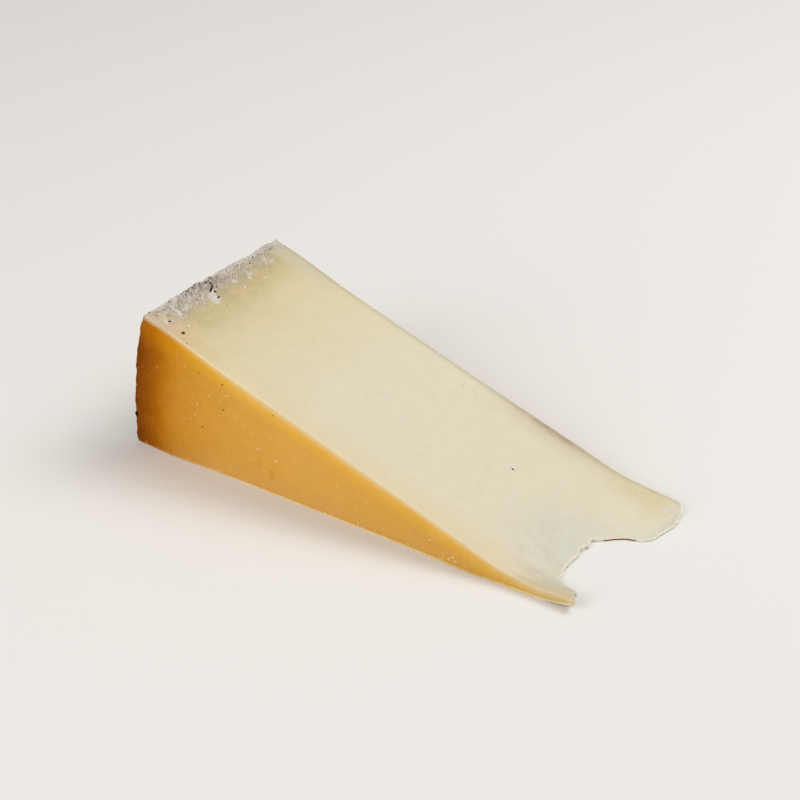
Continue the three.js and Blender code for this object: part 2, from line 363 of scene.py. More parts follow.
# Dark cracks and spots of the crust, by X and Y.
DARK_MARKS = (
    (-162.3, 33.4, 1.5, 0.35, -42), (-161.3, 32.9, 1.6, 0.4, -58), (-160.6, 32.2, 1.6, 0.6, -58),
    (-160.2, 31.2, 1.5, 0.55, -42), (-159.8, 30.4, 1.5, 0.75, -48), (-159.3, 29.8, 1.2, 0.5, -64),
    (-158.3, 30.9, 1.1, 0.95, -40), (-159.7, 33.4, 0.9, 0.45, -60), (-155.5, 29.6, 1.1, 0.6, -70),
    (-155.3, 28.9, 0.9, 0.5, -70), (-163.6, 32.3, 0.9, 0.4, -30), (-162.6, 67.3, 1.1, 0.3, -25),
    (-161.4, 54.2, 1.1, 0.4, -50), (-163.1, 57.7, 1.2, 0.35, -60), (-162.5, 22.8, 0.7, 0.3, -40),
    (-161.9, 22.2, 0.6, 0.25, -40), (-164.6, 23.4, 2.4, 0.5, -85), (-164.9, 20.9, 1.8, 0.35, -85),
    (-164.6, 26.3, 1.5, 0.35, -80), (-164.7, 32.6, 1.6, 0.35, -80), (-164.7, 35.6, 1.4, 0.3, -85),
    (-165.2, 21.8, 2.2, 0.4, -88), (-165.2, 24.9, 2, 0.4, 88), (-165.2, 28.2, 2.2, 0.4, -86),
    (-165.1, 31, 1.8, 0.4, 86), (-164.4, 29.6, 1.2, 0.35, -80), (-164.7, 17.6, 1.4, 0.35, -75),
    (-164.5, 13.5, 0.9, 0.4, -60), (-164.6, 3.2, 1.1, 0.4, -80), (-160.7, 18.3, 0.7, 0.25, -40),
    (-158.9, 21.7, 0.6, 0.2, -50), (-156.7, 4.7, 1, 0.85, -15), (-150.9, 28.1, 0.6, 0.2, -70),
)  # fmt: skip

# Brown dots, and reddish strokes at the front corner, by X and Y.
RUSTY_MARKS = (
    (-150, 3.8, 1.6, 1.45), (-145.9, 0.8, 0.6, 0.4), (-163, 5.2, 1.3, 0.25, -10),
    (-162.2, 4.5, 1.4, 0.3, -15), (-163.2, 3.9, 1, 0.25, -20), (-161.6, 3.7, 1.3, 0.25, -25),
    (-162.3, 3.1, 1.2, 0.2, -30), (-160.6, 12.8, 1.3, 0.75, -50), (-161.4, 10.4, 0.9, 0.25, -20),
    (-159.7, 42.2, 1.3, 0.4, -35), (-163.3, 49.4, 0.9, 0.2, -80), (-163.3, 39.8, 0.9, 0.3, -40),
    (-76.4, 66.1, 0.4, 0.3), (-70, 64.3, 0.35, 0.3), (-40.9, 44, 1.2, 1.1),
)  # fmt: skip

# Dark dots in the front flank, by X and Z. The back flank has them too, shifted along and lower.
FLANK_DOTS = (
    (-130.2, 36, 0.9, 0.7), (-130.1, 26.2, 0.9, 0.7), (-140.3, 37.3, 0.6, 0.5), (-139.7, 16.4, 0.8, 0.6),
    (-108.6, 31.1, 0.6, 0.5),
)  # fmt: skip
BACK_DOT_SHIFT, BACK_DOT_HEIGHT = 9, 0.8

# The dark spot where the front flank meets the rind: X and Z, length, width and thickness, heading.
EDGE_SPOT, EDGE_SPOT_SIZE, EDGE_SPOT_HEADING = (-170.2, 11.4), (2.2, 1.5, 0.4), 90

# The pale ring round the dot in the middle of the cut face: X and Y, length, width and thickness.
DOT_RING, DOT_RING_SIZE = (-40.9, 44), (2.3, 2.1, 0.06)

# White scrapes on the cut face, by X and Y.
WHITE_MARKS = (
    (-158, 40.6, 2.6, 0.5, -20, 0.2), (-157.6, 41.7, 1.9, 0.5, 70, 0.3), (-159.6, 42.6, 1.6, 0.35, -50),
    (-155.9, 38.2, 1.1, 0.4, -20), (-158.3, 59.2, 2.6, 0.4, -40), (-159.6, 62.4, 2, 0.35, -60),
    (-158.1, 67.2, 1.3, 0.45, -50), (-160.4, 69.6, 1.8, 0.6, -30), (-155.9, 22.4, 1.5, 0.45, -50),
    (-155.5, 9.9, 2.2, 0.4, -20), (-163.6, 20.4, 1.5, 0.4, -30), (-157.7, 17.2, 3, 0.35, -50),
    (-157.2, 26.6, 2.4, 0.7, -20, 0.2), (-155.3, 26.1, 2.6, 0.7, -35, 0.2),
    (-154.4, 27.4, 1.9, 0.5, 60, 0.2), (-158.6, 28.2, 1.6, 0.5, -40), (-162.7, 14.6, 1.8, 0.6, -60),
    (-161.2, 11.4, 2.6, 0.5, -15), (-159.2, 10.6, 2.8, 0.5, -12, 0.1), (-162.6, 8.3, 2, 0.6, -30),
)  # fmt: skip

# Bright scrapes and flakes on the cut face, by X and Y.
BRIGHT_MARKS = (
    (-143.9, 67.4, 2.9, 1, 8, 0.1), (-153.9, 42, 1.8, 0.8, -35), (-151.4, 8.5, 1.7, 0.7, -25, 0.1),
    (-157, 3.3, 1.8, 0.6, -20, 0.2), (-152.9, 52, 1.4, 0.5), (-151.2, 51.2, 0.9, 0.4, -20),
    (-149.5, 10.4, 0.9, 0.3, -50), (-156.1, 22.4, 1, 0.35, -50), (-158.1, 28.4, 1.6, 0.5, -30, 0.1),
    (-163.5, 15.2, 2, 0.6, -60), (-69.3, 61.6, 1.8, 0.3, -40), (-6.9, 7.7, 3.2, 0.6, -35, 0.15),
    (4.2, 7.2, 1.4, 0.25, -25), (6.8, 65.9, 2.4, 1.2, 20, 0.3), (5, 64.7, 1.4, 0.5, -40),
    (-11.7, 71, 1.3, 0.4, -40), (-8.4, 69.5, 0.9, 0.35, -60), (-4.7, 67.4, 1.4, 0.45, -20, 0.3),
    (-3.2, 68.5, 0.9, 0.35, 30),
)  # fmt: skip

# Pale curls in the crust, each an arc of scrapes: X and Y of its centre, radius, from and to which angle.
CURLS = ((-154, 28.5, 1.4, -150, 60), (-154, 28.5, 2.4, -140, 40), (-158.4, 41.4, 1.2, -100, 80))
CURL_STEP, CURL_LONG, CURL_WIDE, CURL_BEND = 28, 0.95, 0.3, -0.15

# Light crystals and hairs in the front flank, by X and Z. They are smaller at the rind: the smallest share of
# their size, where they start to grow and over which length.
SMALLEST_MARKS, MARKS_SHRINK_AT, MARKS_SHRINK_WIDTH = 0.75, -165, 25
FLANK_MARKS = (
    (-164.6, 48, 1.3, 0.35, 30), (-163.3, 48.6, 1.5, 0.45, 40, 0.2), (-162, 49, 1.2, 0.4, 20),
    (-163.9, 47.4, 0.9, 0.3, -50), (-159.1, 33.5, 1.2, 0.6, -10), (-141.6, 24.5, 1.1, 0.7, 70),
    (-142.9, 20.3, 1.1, 0.7, -15), (-148.6, 21.3, 1.8, 0.18, 50, 0.4), (-147, 21.5, 2, 0.18, -10, -0.4),
    (-156.2, 22.2, 2.2, 0.2, -60, 0.3), (-155, 20.6, 1.6, 0.2, 60, 0.3), (-149.1, 29.4, 1, 0.4, -70),
    (-136.2, 29.6, 0.9, 0.5), (-134.8, 31, 1, 0.3, 50), (-131.8, 28.8, 1.6, 0.2, 55, 0.1),
    (-130.6, 30.4, 1.8, 0.25, 50), (-129.2, 31.6, 2.2, 0.25, 25, 0.2), (-127.8, 32.6, 2, 0.25, 60),
    (-126.9, 34.4, 1.8, 0.25, 65, 0.1), (-128, 31, 1.2, 0.2, -30), (-123.1, 36.2, 1, 0.35, 30),
    (-118.2, 33.4, 3, 0.25, -60, 0.1), (-122.2, 29.4, 1.8, 0.25, 60, 0.2), (-121.2, 30.3, 1.2, 0.2, -20),
    (-123.8, 25.9, 1.6, 0.2, -40, 0.3), (-124.9, 24.8, 1.2, 0.2, 40, 0.3), (-117.5, 20.7, 1.3, 0.4, 70),
    (-115.5, 15.7, 1.5, 1, -15), (-107.4, 13.8, 1.5, 0.8, -30), (-109.5, 22.1, 1.6, 0.25, -45, 0.3),
    (-113, 30.6, 0.8, 0.4), (-134.1, 22.1, 1.6, 0.18, 60, 0.3), (-151.5, 16.6, 1.6, 0.18, -40, 0.4),
    (-145, 14.9, 1.4, 0.2, 30, 0.4), (-163.8, 11.2, 1.1, 0.3, 60), (-153, 5.6, 1.4, 0.2, 60),
    (-81.7, 14, 1.2, 0.35, 30), (-78.7, 15.7, 1, 0.3, -30), (-69.7, 10.8, 1.2, 0.4),
    (-66.3, 9.7, 1.4, 0.35, 40, 0.2), (-68, 10.2, 1, 0.25, -50), (-43.9, 6.3, 1.4, 0.5, 20),
    (-45.2, 7.4, 0.9, 0.3, -40), (-35.9, 2.3, 1.5, 0.8, 30), (-34.6, 3.2, 1.5, 0.7, 60),
    (-33.4, 2.2, 1.2, 0.6), (-73, 2, 1, 0.4), (-31.7, 9, 1.4, 0.4, -20), (-22.4, 3.1, 1.4, 0.2, -40, 0.3),
    (-168.4, 30.2, 1.1, 0.6, 60), (-169.2, 23.5, 1, 0.6, -50), (-168.9, 19.1, 1.2, 0.6, 30),
    (-95.2, 21, 1.4, 0.2, 50, 0.3), (-99.6, 16.9, 1.2, 0.2, -50, 0.3), (-88, 8.5, 1.2, 0.25, 20, 0.3),
    (-58.9, 8.2, 1.2, 0.2, -30, 0.3),
)  # fmt: skip

# Crumbs along the front foot, by X and Z, and along the back edge of the cut face, by X.
FOOT_CRUMBS = (
    (-166.2, 1.3), (-155.9, 0.8), (-147.5, 1.2), (-146.6, 1), (-136.3, 1.7), (-133.3, 1.5), (-120.6, 1.7),
    (-118.9, 1.1), (-100.7, 1), (-86.7, 0.9), (-83.8, 1.2), (-73, 0.9), (-71.3, 1.2), (-52.3, 1.6),
    (-46.6, 0.6), (-39.3, 0.9), (-38.4, 1.3), (-33.9, 0.7), (0.2, 1.9),
)  # fmt: skip
EDGE_CRUMBS = (-153, -135.5, -132, -128, -121, -110.6, -103.4, -92, -78.5, -72.2, -14.9, -10.7, -5.5)
EDGE_CRUMBS_Y = 73.4

# Sizes of what is strewn, smallest and largest: length, width and thickness in millimetres.
FIBRE_SIZES = (0.9, 0.2, 0.08), (3.0, 0.5, 0.16)
RIM_FLAKE_SIZES = (0.6, 0.3, 0.2), (1.8, 0.6, 0.45)
RIND_FLAKE_SIZES = (0.4, 0.3, 0.12), (1.2, 0.7, 0.25)
DARK_SPECK_SIZES = (0.3, 0.1, 0.08), (0.9, 0.22, 0.12)
PORE_SIZES = (0.3, 0.2, 0.1), (1.1, 0.5, 0.16)
HAIR_SIZES = (0.5, 0.1, 0.06), (1.8, 0.26, 0.1)
FOOT_CRUMB_SIZES = (0.6, 0.4, 0.3), (1.3, 0.8, 0.4)
FOOT_GRAIN_SIZES = (0.3, 0.2, 0.2), (0.8, 0.4, 0.3)
EDGE_CRUMB_SIZES = (0.9, 0.4, 0.3), (1.6, 0.6, 0.5)
BITE_CRUMB_SIZES = (0.3, 0.25, 0.2), (0.8, 0.5, 0.35)

# Where they are strewn, in millimetres and degrees. The fibres start a little way in from the rind, thin out
# over a depth, end at a reach and keep clear of the dark marks; so many are tried for each one laid, and the
# share that stays grows with the chalk. Fibres and dark specks stray from the combed heading, and the specks
# thin out from where they start. The rim is the rind at its height.
FIBRES_START, FIBRES_DEPTH, FIBRES_REACH, FIBRES_CLEAR = 0.5, 2.5, 9.5, 1.1
FIBRE_TRIES, FIBRES_ANYWHERE, FIBRES_ON_CHALK = 3, 0.25, 1.2
FIBRES_STRAY, SPECKS_STRAY = 13, 15
SPECKS_START, SPECKS_DEPTH = -164.6, 1.6
RIM_HEIGHT = 50

# The flanks' hairs lie from near the rind to near the tip, more of them near the rind, below the cut face.
HAIRS_START, HAIRS_LENGTH, HAIRS_CROWD = -168, 164, 1.5
HAIRS_FOOT, FACE_FALL, FACE_CLEAR = 1.5, 0.3, 2


def smooth(value):
    """The smooth step from 0 to 1 of a value, which rises between 0 and 1."""
    held = np.clip(value, 0, 1)
    return held * held * (3 - 2 * held)


def hump(distance, width):
    """A bell curve: 1 at distance 0, falling off over the width."""
    return np.exp(-((distance / width) ** 2))


def blend(start, end, share):
    """The value a share of the way from start to end."""
    return start + (end - start) * share


def round_max(first, second, size):
    """The larger of two heights, rounded over the given size where they cross."""
    spread = np.clip(size - np.abs(first - second), 0, None) / size
    return np.maximum(first, second) + spread * spread * size / 4


def noise(points, cell, seed):
    """Value noise between -1 and 1: random values on a cubic lattice, blended smoothly inside each cell."""
    values = np.random.default_rng(seed).uniform(-1, 1, (NOISE_PERIOD,) * 3)
    scaled = points / cell
    low = np.floor(scaled).astype(int)
    share = smooth(scaled - low)
    total = np.zeros(len(points))
    for corner in np.ndindex(2, 2, 2):
        weight = np.prod(np.where(corner, share, 1 - share), axis=1)
        total += weight * values[tuple(((low + corner) % NOISE_PERIOD).T)]
    return total


def layered_noise(points, cell, layers, seed):
    """Layers of value noise, each half as wide and half as strong as the one before."""
    layer = range(layers)
    return sum(noise(points, cell / 2**i, seed + i) / 2**i for i in layer) / sum(1 / 2**i for i in layer)


def centripetal_curve(points, steps):
    """A smooth curve through the points: between two of them a cubic whose slopes follow the neighbours."""
    ends = (2 * points[:1] - points[1:2], points, 2 * points[-1:] - points[-2:-1])
    knots = np.vstack(ends)
    gaps = np.sqrt(np.linalg.norm(np.diff(knots, axis=0), axis=1))
    share = np.linspace(0, 1, steps, endpoint=False)[:, None, None]
    before, start, end, after = knots[:-3], knots[1:-2], knots[2:-1], knots[3:]
    a, b, c = gaps[:-2, None], gaps[1:-1, None], gaps[2:, None]
    leave = (start - before) / a - (end - before) / (a + b) + (end - start) / b
    arrive = (end - start) / b - (after - start) / (b + c) + (after - end) / c
    leave, arrive = leave * b, arrive * b
    curve = (
        (2 * share**3 - 3 * share**2 + 1) * start
        + (share**3 - 2 * share**2 + share) * leave
        + (3 * share**2 - 2 * share**3) * end
        + (share**3 - share**2) * arrive
    )
    return np.vstack((curve.transpose(1, 0, 2).reshape(-1, 2), points[-1:]))


class WedgeForm:
    """The wedge as functions of place: every surface of it, in wedge coordinates."""

    def __init__(self, sizes):
        self.sizes = sizes
        self.radius = sizes.wheel_radius
        self.width = sizes.wheel_thickness
        self.slope = tan(sizes.cut_angle)
        line_x = MODEL_HIGH[0] - sizes.tongue_reach
        front_y = MODEL_HIGH[1] - self.width
        self.origin = np.array([line_x, front_y, 0.0])
        self.outline = centripetal_curve(np.array(BITTEN_EDGE) * MM, OUTLINE_STEPS)
        self.outline[:, 0] = np.maximum.accumulate(self.outline[:, 0])

    def edge_x(self, y):
        """X of the bitten edge at Y: the smooth outline with fine irregular serrations."""
        plain = np.interp(y, self.outline[:, 0], self.outline[:, 1])
        places = np.column_stack((y, plain, np.zeros(len(y))))
        return plain + self.sizes.tooth_mark * layered_noise(places, TOOTH_CELL, 3, seed=11)

    def rind_x(self, y, z):
        """X of the rind at Y and Z: the wheel's round, worn back along its upper rim."""
        arc = -np.sqrt(self.radius**2 - (z - self.sizes.wheel_axis_height) ** 2)
        wear = self.sizes.rim_wear + sum(far * hump(y - at, width) for at, width, far in RIM_NOTCHES)
        places = np.column_stack((y, z, np.zeros(len(y))))
        wear = wear + RIM_RAGGED * layered_noise(places, RIM_CELL, 3, seed=81)
        down = np.clip(self.radius * sin(self.sizes.cut_angle) - z, 0, None)
        corner = CORNER_WEAR * hump(y, CORNER_WEAR_WIDTH) * hump(down, CORNER_WEAR_HEIGHT)
        return arc + corner + wear * hump(down, RIM_WEAR_HEIGHT)

    def horn_share(self, y):
        """How much of the horn's form is felt at Y: all on the front flank, none past its width."""
        return 1 - smooth(y / HORN_WIDTH)

    def underside(self, x, y):
        """Height of the underside: the ground, but for the horn's curl and the hollow in it."""
        past = np.clip((x - HORN_CURL_START) / HORN_CURL_LENGTH, 0, None)
        hollow = HORN_HOLLOW * hump(y - HORN_HOLLOW_AT, HORN_HOLLOW_WIDTH)
        hollow = hollow * smooth(HORN_HOLLOW_RISE * past + HORN_HOLLOW_START)
        return HORN_CURL_HEIGHT * past**HORN_CURL_POWER * self.horn_share(y) + hollow

    def horn_end(self, y, up, tip_gap):
        """How far the horn's end stands out at Y and a share of its height, fading from the bitten edge."""
        lobes = 0
        for at, width, level, reach, out in HORN_LOBES:
            lobes = lobes + out * hump(y - at, width) * hump(up - level, reach)
        return lobes * hump(tip_gap, HORN_END_REACH)

    def upper(self, x, y, edge_x):
        """Height of the upper face: the sloping cut with its swells, or the tip's lip where it is higher."""
        across = y / self.width
        from_rind = x + self.radius
        swell = blend(SWELL_FRONT, SWELL_BACK, across) * hump(from_rind - SWELL_AT, SWELL_WIDTH)
        arch = np.sin(pi * np.clip(from_rind / self.radius, 0, 1))
        bulge = blend(BULGE_FRONT, BULGE_BACK, across) * arch
        cut = -x * self.slope + swell + bulge
        lip = self.sizes.lip + BACK_LIP * smooth((y - BACK_LIP_START) / BACK_LIP_WIDTH)
        horn_share, tongue_share = self.horn_share(y), smooth((y - TONGUE_START) / TONGUE_WIDTH)
        horn = (HORN_LOW_HEIGHT + HORN_RISE * (x - HORN_LOW_AT) - lip) * horn_share
        shoulder = smooth(x / HORN_SHOULDER_RISE + HORN_SHOULDER_START)
        horn = horn - HORN_SHOULDER * (1 - smooth(y / HORN_SHOULDER_WIDTH)) * shoulder
        bevel = smooth((edge_x - x) / BEVEL_WIDTH)
        tongue = (TONGUE_HEIGHT - TONGUE_FALL * x - lip) * tongue_share * bevel
        edge = np.maximum(lip + horn + tongue, self.underside(x, y) + lip)
        return round_max(cut, edge, JOIN_ROUND + HORN_JOIN * horn_share + TONGUE_JOIN * tongue_share)

    def foot_spread(self, x, y, up):
        """How far the front flank stands out at X and a share of its height: most at the foot."""
        spread = FOOT_SPREAD + sum(out * hump(x - at, width) for at, width, out in FOOT_BULGES)
        return spread * smooth((FOOT_END - x) / FOOT_FADE) * (1 - up) ** 2 * self.horn_share(y)

    def relief(self, points, rind_gap, tip_gap):
        """Height of the fine relief along the surface's normal: crags on the crust, ripples elsewhere."""
        sizes = self.sizes
        crust = 1 - smooth(rind_gap / sizes.crust_width)
        crags = layered_noise(points, CRAG_CELL, 3, seed=21)
        crags = crags + FINE_CRAGS * layered_noise(points, FINE_CRAG_CELL, 2, seed=31)
        slant = fibre_slant(points[:, 1])
        combed = np.column_stack((rind_gap / 4, points[:, 1] + slant * rind_gap, points[:, 2] / 3))
        strands = layered_noise(combed, STRAND_CELL, 2, seed=35) * smooth(rind_gap / STRAND_START)
        ripples = layered_noise(points, RIPPLE_CELL, 3, seed=41)
        crumbs = layered_noise(points, CRUMB_CELL, 2, seed=51) * (1 - smooth(tip_gap / CRUMB_REACH))
        rough = (crags + STRANDS * strands) * crust
        return sizes.crust_relief * rough + sizes.face_relief * (ripples + CRUMBS * crumbs)


def fibre_slant(y):
    """How far the crust's fibres drift to the front for each millimetre in from the rim."""
    return blend(FIBRE_SLANT_FRONT, FIBRE_SLANT, smooth((y - FIBRE_TURN) / FIBRE_TURN_WIDTH))


def chalk(x, y):
    """How chalky the crust is at a place on a cut face: the strongest of soft patches, ragged by noise."""
    places = np.column_stack((x, y, np.zeros(len(x))))
    ragged = CHALK_RAGGED * layered_noise(places, CHALK_CELL, 3, seed=71)
    total = np.zeros(len(x))
    for at_x, at_y, long, wide, turn, amount in CHALK_PATCHES:
        dx, dy = x - at_x * MM + ragged, y - at_y * MM - ragged
        along = dx * cos(radians(turn)) + dy * sin(radians(turn))
        aside = dy * cos(radians(turn)) - dx * sin(radians(turn))
        away = (along / (long * MM)) ** 2 + (aside / (wide * MM)) ** 2
        total = np.maximum(total, amount * np.exp(-away))
    return total


def stretch_weights(near, middle_cells, far):
    """Station weights for start, end and offset: at set distances from either end, evenly spaced between."""
    share = np.linspace(0, 1, middle_cells + 1)[1:-1]
    start = np.concatenate((np.ones(len(near)), 1 - share, np.zeros(len(far))))
    offset = np.concatenate((near, (1 - share) * near[-1] - share * far[0], -far))
    return start, 1 - start, offset


def rounded_corner(first, second, radius):
    """How far a point moves in from two faces that meet, to turn their edge into a quarter round.

    first and second are its depths behind the faces. Inside the corner's square of the radius, the vector
    from the round's centre keeps its direction, and its longer side becomes its length.
    """
    reach = np.clip((radius - first) / radius, 0, None)
    side = np.clip((radius - second) / radius, 0, None)
    inside = (reach > 0) & (side > 0)
    scale = np.maximum(reach, side) / np.maximum(np.hypot(reach, side), 1e-9)
    return (
        np.where(inside, radius * reach * (1 - scale), 0),
        np.where(inside, radius * side * (1 - scale), 0),
    )


class SkinGrid:
    """The six faces of a box of cells along, across and up, which share the points of their common edges."""

    def __init__(self, cells):
        last = np.array(cells)
        index = np.indices(last + 1)
        on_skin = np.any((index == 0) | (index == last[:, None, None, None]), axis=0)
        self.ids = np.full(last + 1, -1)
        self.ids[on_skin] = np.arange(on_skin.sum())
        self.i, self.j, self.k = (axis[on_skin] for axis in index)

    @staticmethod
    def quads(sheet):
        """The cells of one sheet of point numbers, as four corners each."""
        return np.stack((sheet[:-1, :-1], sheet[1:, :-1], sheet[1:, 1:], sheet[:-1, 1:]), -1).reshape(-1, 4)

    def faces(self):
        """All cells, each turned so that it faces out of the box."""
        ids = self.ids
        outward = (ids[:, :, -1], ids[:, 0, :], ids[-1, :, :])
        inward = (ids[:, :, 0], ids[:, -1, :], ids[0, :, :])
        turned = [self.quads(sheet)[:, ::-1] for sheet in inward]
        return np.vstack([self.quads(sheet) for sheet in outward] + turned)


def stations_across(form, fine):
    """Y of the stations across: close together in the edge rounds, between them even along the bitten edge.

    That gives the bite's steep walls their share of stations.
    """
    edge = form.sizes.edge_round
    walked = np.concatenate(([0], np.cumsum(np.linalg.norm(np.diff(form.outline, axis=0), axis=1))))
    spaced = np.interp(np.linspace(0, walked[-1], ACROSS_CELLS), walked, form.outline[:, 0])
    inner = np.clip(spaced[1:-1], ROUNDS_CLEAR * edge, form.width - ROUNDS_CLEAR * edge)
    inner = inner[np.concatenate(([True], np.diff(inner) > CLOSEST_STATIONS))]
    behind = form.width - np.append(edge, edge * fine[::-1])
    return np.concatenate((edge * fine, [edge], inner, behind))


def round_edges(points, gaps, thin_edge, thickness, rind_round):
    """Turns the edges between the faces into worn quarter rounds, thinner where the wedge is thin."""
    wear = 1 + ROUND_WEAR * layered_noise(points, ROUND_WEAR_CELL, 2, seed=61)
    thin_rind = np.minimum(rind_round * wear, THICKEST_ROUND * thickness)
    around = ("top", "base", "front", "back")
    rounds = [("rind", face, thin_rind) for face in around] + [("tip", face, thin_edge) for face in around]
    rounds += [(flank, cut, thin_edge * wear) for flank in around[2:] for cut in around[:2]]
    for first, second, radius in rounds:
        moves = rounded_corner(gaps[first], gaps[second], radius)
        for face, move in zip((first, second), moves):
            axis, inwards, _ = SIDES[face]
            points[:, axis] += inwards * move


def wedge_skin(form):
    """The whole skin of the wedge: points, faces and each point's gaps behind the faces."""
    sizes = form.sizes
    fine = np.arange(ROUND_CELLS) / ROUND_CELLS

    # Along, the stations are close at the rind and at the bitten edge.
    rind_round, lip_round = sizes.rind_round, sizes.lip / 3
    crust = np.linspace(rind_round, CRUST_STRETCH, CRUST_CELLS)
    bitten = np.linspace(TIP_STRETCH, lip_round, TIP_CELLS)
    rind_side = np.concatenate((rind_round * fine, crust))
    tip_side = np.concatenate((bitten, lip_round * fine[::-1]))
    from_rind, from_tip, step_x = stretch_weights(rind_side, BODY_CELLS, tip_side)

    stations_y = stations_across(form, fine)
    grid = SkinGrid((len(from_rind) - 1, len(stations_y) - 1, UP_CELLS + 2 * ROUND_CELLS))
    y = stations_y[grid.j]
    edge_x = form.edge_x(stations_y)[grid.j]

    # Up, the lowest and highest stations lie inside the edge rounds, and thin places get thinner rounds.
    up_near = np.arange(ROUND_CELLS + 1) / ROUND_CELLS
    from_base, from_top, step_z = stretch_weights(up_near, UP_CELLS, up_near[::-1])
    plain_up = np.linspace(0, 1, len(from_base))[grid.k]
    rind_top = form.radius * sin(sizes.cut_angle)
    rind_x = form.rind_x(y, plain_up * rind_top)
    x = from_rind[grid.i] * rind_x + from_tip[grid.i] * edge_x + step_x[grid.i]

    low, high = form.underside(x, y), form.upper(x, y, edge_x)
    thin_edge = np.minimum(sizes.edge_round, THICKEST_ROUND * (high - low))
    z = from_base[grid.k] * low + from_top[grid.k] * high + step_z[grid.k] * thin_edge

    gaps = {
        "top": high - z,
        "base": z - low,
        "front": y,
        "back": form.width - y,
        "rind": x - rind_x,
        "tip": edge_x - x,
    }
    points = np.column_stack((x, y, z))
    up = gaps["base"] / (high - low)
    points[:, 0] += form.horn_end(y, up, gaps["tip"])
    points[:, 1] -= form.foot_spread(x, y, up)
    round_edges(points, gaps, thin_edge, high - low, rind_round)
    return points, grid.faces(), gaps


# --- Meshes ---------------------------------------------------------------------------------------


def make_piece(name, points, faces, material):
    """A smooth mesh object from whole arrays of points and faces, riding on the body."""
    mesh = bpy.data.meshes.new(name)
    mesh.from_pydata(points.tolist(), [], faces.tolist())
    mesh.polygons.foreach_set("use_smooth", np.ones(len(faces), bool))
    mesh.materials.append(material)
    mesh.update()
    piece = bpy.data.objects.new(name, mesh)
    bpy.context.scene.collection.objects.link(piece)
    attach(piece, BODY)
    return piece


def set_points(mesh, points):
    """Moves a mesh's points."""
    mesh.vertices.foreach_set("co", points.astype(np.float32).ravel())
    mesh.update()


def lump_template():
    """One unit lump along its first axis: rings of points between two ends, and its triangles."""
    turn = np.arange(LUMP_SIDES) * 2 * pi / LUMP_SIDES
    rings = [
        np.column_stack((np.full(LUMP_SIDES, along), radius * np.cos(turn), radius * np.sin(turn)))
        for along, radius in LUMP_RINGS
    ]
    points = np.vstack(([(-1, 0, 0)], *rings, [(1, 0, 0)]))
    here = 1 + np.arange(LUMP_SIDES)
    beside = np.roll(here, -1)
    ends = np.zeros(LUMP_SIDES, int)
    triangles = [np.column_stack((ends, beside, here))]
    for ring in range(len(LUMP_RINGS) - 1):
        low, high = ring * LUMP_SIDES, (ring + 1) * LUMP_SIDES
        triangles.append(np.column_stack((here + low, beside + low, beside + high)))
        triangles.append(np.column_stack((here + low, beside + high, here + high)))
    last = (len(LUMP_RINGS) - 1) * LUMP_SIDES
    triangles.append(np.column_stack((here + last, beside + last, ends + len(points) - 1)))
    return points, np.vstack(triangles)


class Lumps:
    """Small lumps laid on the wedge's skin, half sunk into it, which become one mesh."""

    def __init__(self, context, seed):
        self.form = WedgeForm(context.scene.cheese_sizes)
        self.counts = context.scene.cheese_counts
        self.colours = context.scene.cheese_colours
        self.tree = BVHTree.FromObject(bpy.data.objects[WEDGE_NAME], context.evaluated_depsgraph_get())
        self.random = np.random.default_rng(seed)
        self.rows = []

    def lay(self, side, spot, size, heading=0.0, bend=0.0):
        """Lays one lump on a side of the wedge, where the side is met when looked at squarely.

        Spot and size (long, wide, thick) are in millimetres, and the heading is in degrees, in the side's
        plane. The bend is how far the ends turn aside, as a share of half the length.
        """
        axis, way, plane = SIDES[side]
        start, look, ahead = np.zeros(3), np.zeros(3), np.zeros(3)
        start[list(plane)] = np.array(spot) * MM
        start[axis] = -way * LOOK_FROM
        look[axis] = way
        ahead[list(plane)] = cos(radians(heading)), sin(radians(heading))
        place, normal, _, _ = self.tree.ray_cast(Vector(start + self.form.origin), Vector(look))
        if place is not None:
            self.rows.append((place, normal, ahead, size, (bend, 0, 0)))

    def lay_marks(self, side, marks, thick, wider=1.0):
        """Lays a table of marks on a side, all of one thickness and so many times wider."""
        for along, aside, long, wide, *turns in marks:
            self.lay(side, (along, aside), (long, wider * wide, thick), *turns)

    def spread(self, amount, *ranges):
        """Rows of values, each drawn evenly from its range."""
        low, high = zip(*ranges)
        return self.random.uniform(low, high, (amount, len(ranges)))

    def build(self, name, material):
        """Makes the piece: each lump a wobbled copy of the template, turned to its heading on the skin."""
        places, normals, aheads, sizes, bends = (np.array(part, float) for part in zip(*self.rows))
        aheads = aheads - normals * np.sum(aheads * normals, axis=1, keepdims=True)
        aheads /= np.linalg.norm(aheads, axis=1, keepdims=True)
        asides = np.cross(normals, aheads)
        shape, triangles = lump_template()
        wobble = self.random.uniform(*LUMP_WOBBLE, (len(places), *shape.shape))
        local = shape * wobble * (sizes[:, None] * MM / 2)
        local[..., 1] += bends[:, :1] * shape[:, 0] ** 2 * sizes[:, :1] * MM / 2
        turned = local[..., 0:1] * aheads[:, None] + local[..., 1:2] * asides[:, None]
        points = places[:, None] + (turned + local[..., 2:3] * normals[:, None])
        points[..., 2] = np.maximum(points[..., 2], 0)
        faces = triangles + len(shape) * np.arange(len(places))[:, None, None]
        make_piece(name, points.reshape(-1, 3), faces.reshape(-1, 3), material)


def point_normals(mesh):
    """The mesh's normals at its points, as an array."""
    normals = np.zeros(len(mesh.vertices) * 3, np.float32)
    mesh.vertex_normals.foreach_get("vector", normals)
    return normals.reshape(-1, 3).astype(float)


def set_gap(mesh, name, values):
    """Stores one value for each point, in millimetres, for the material to read."""
    attribute = mesh.attributes.new(name, "FLOAT", "POINT")
    attribute.data.foreach_set("value", (values / MM).astype(np.float32))


# --- Materials ------------------------------------------------------------------------------------


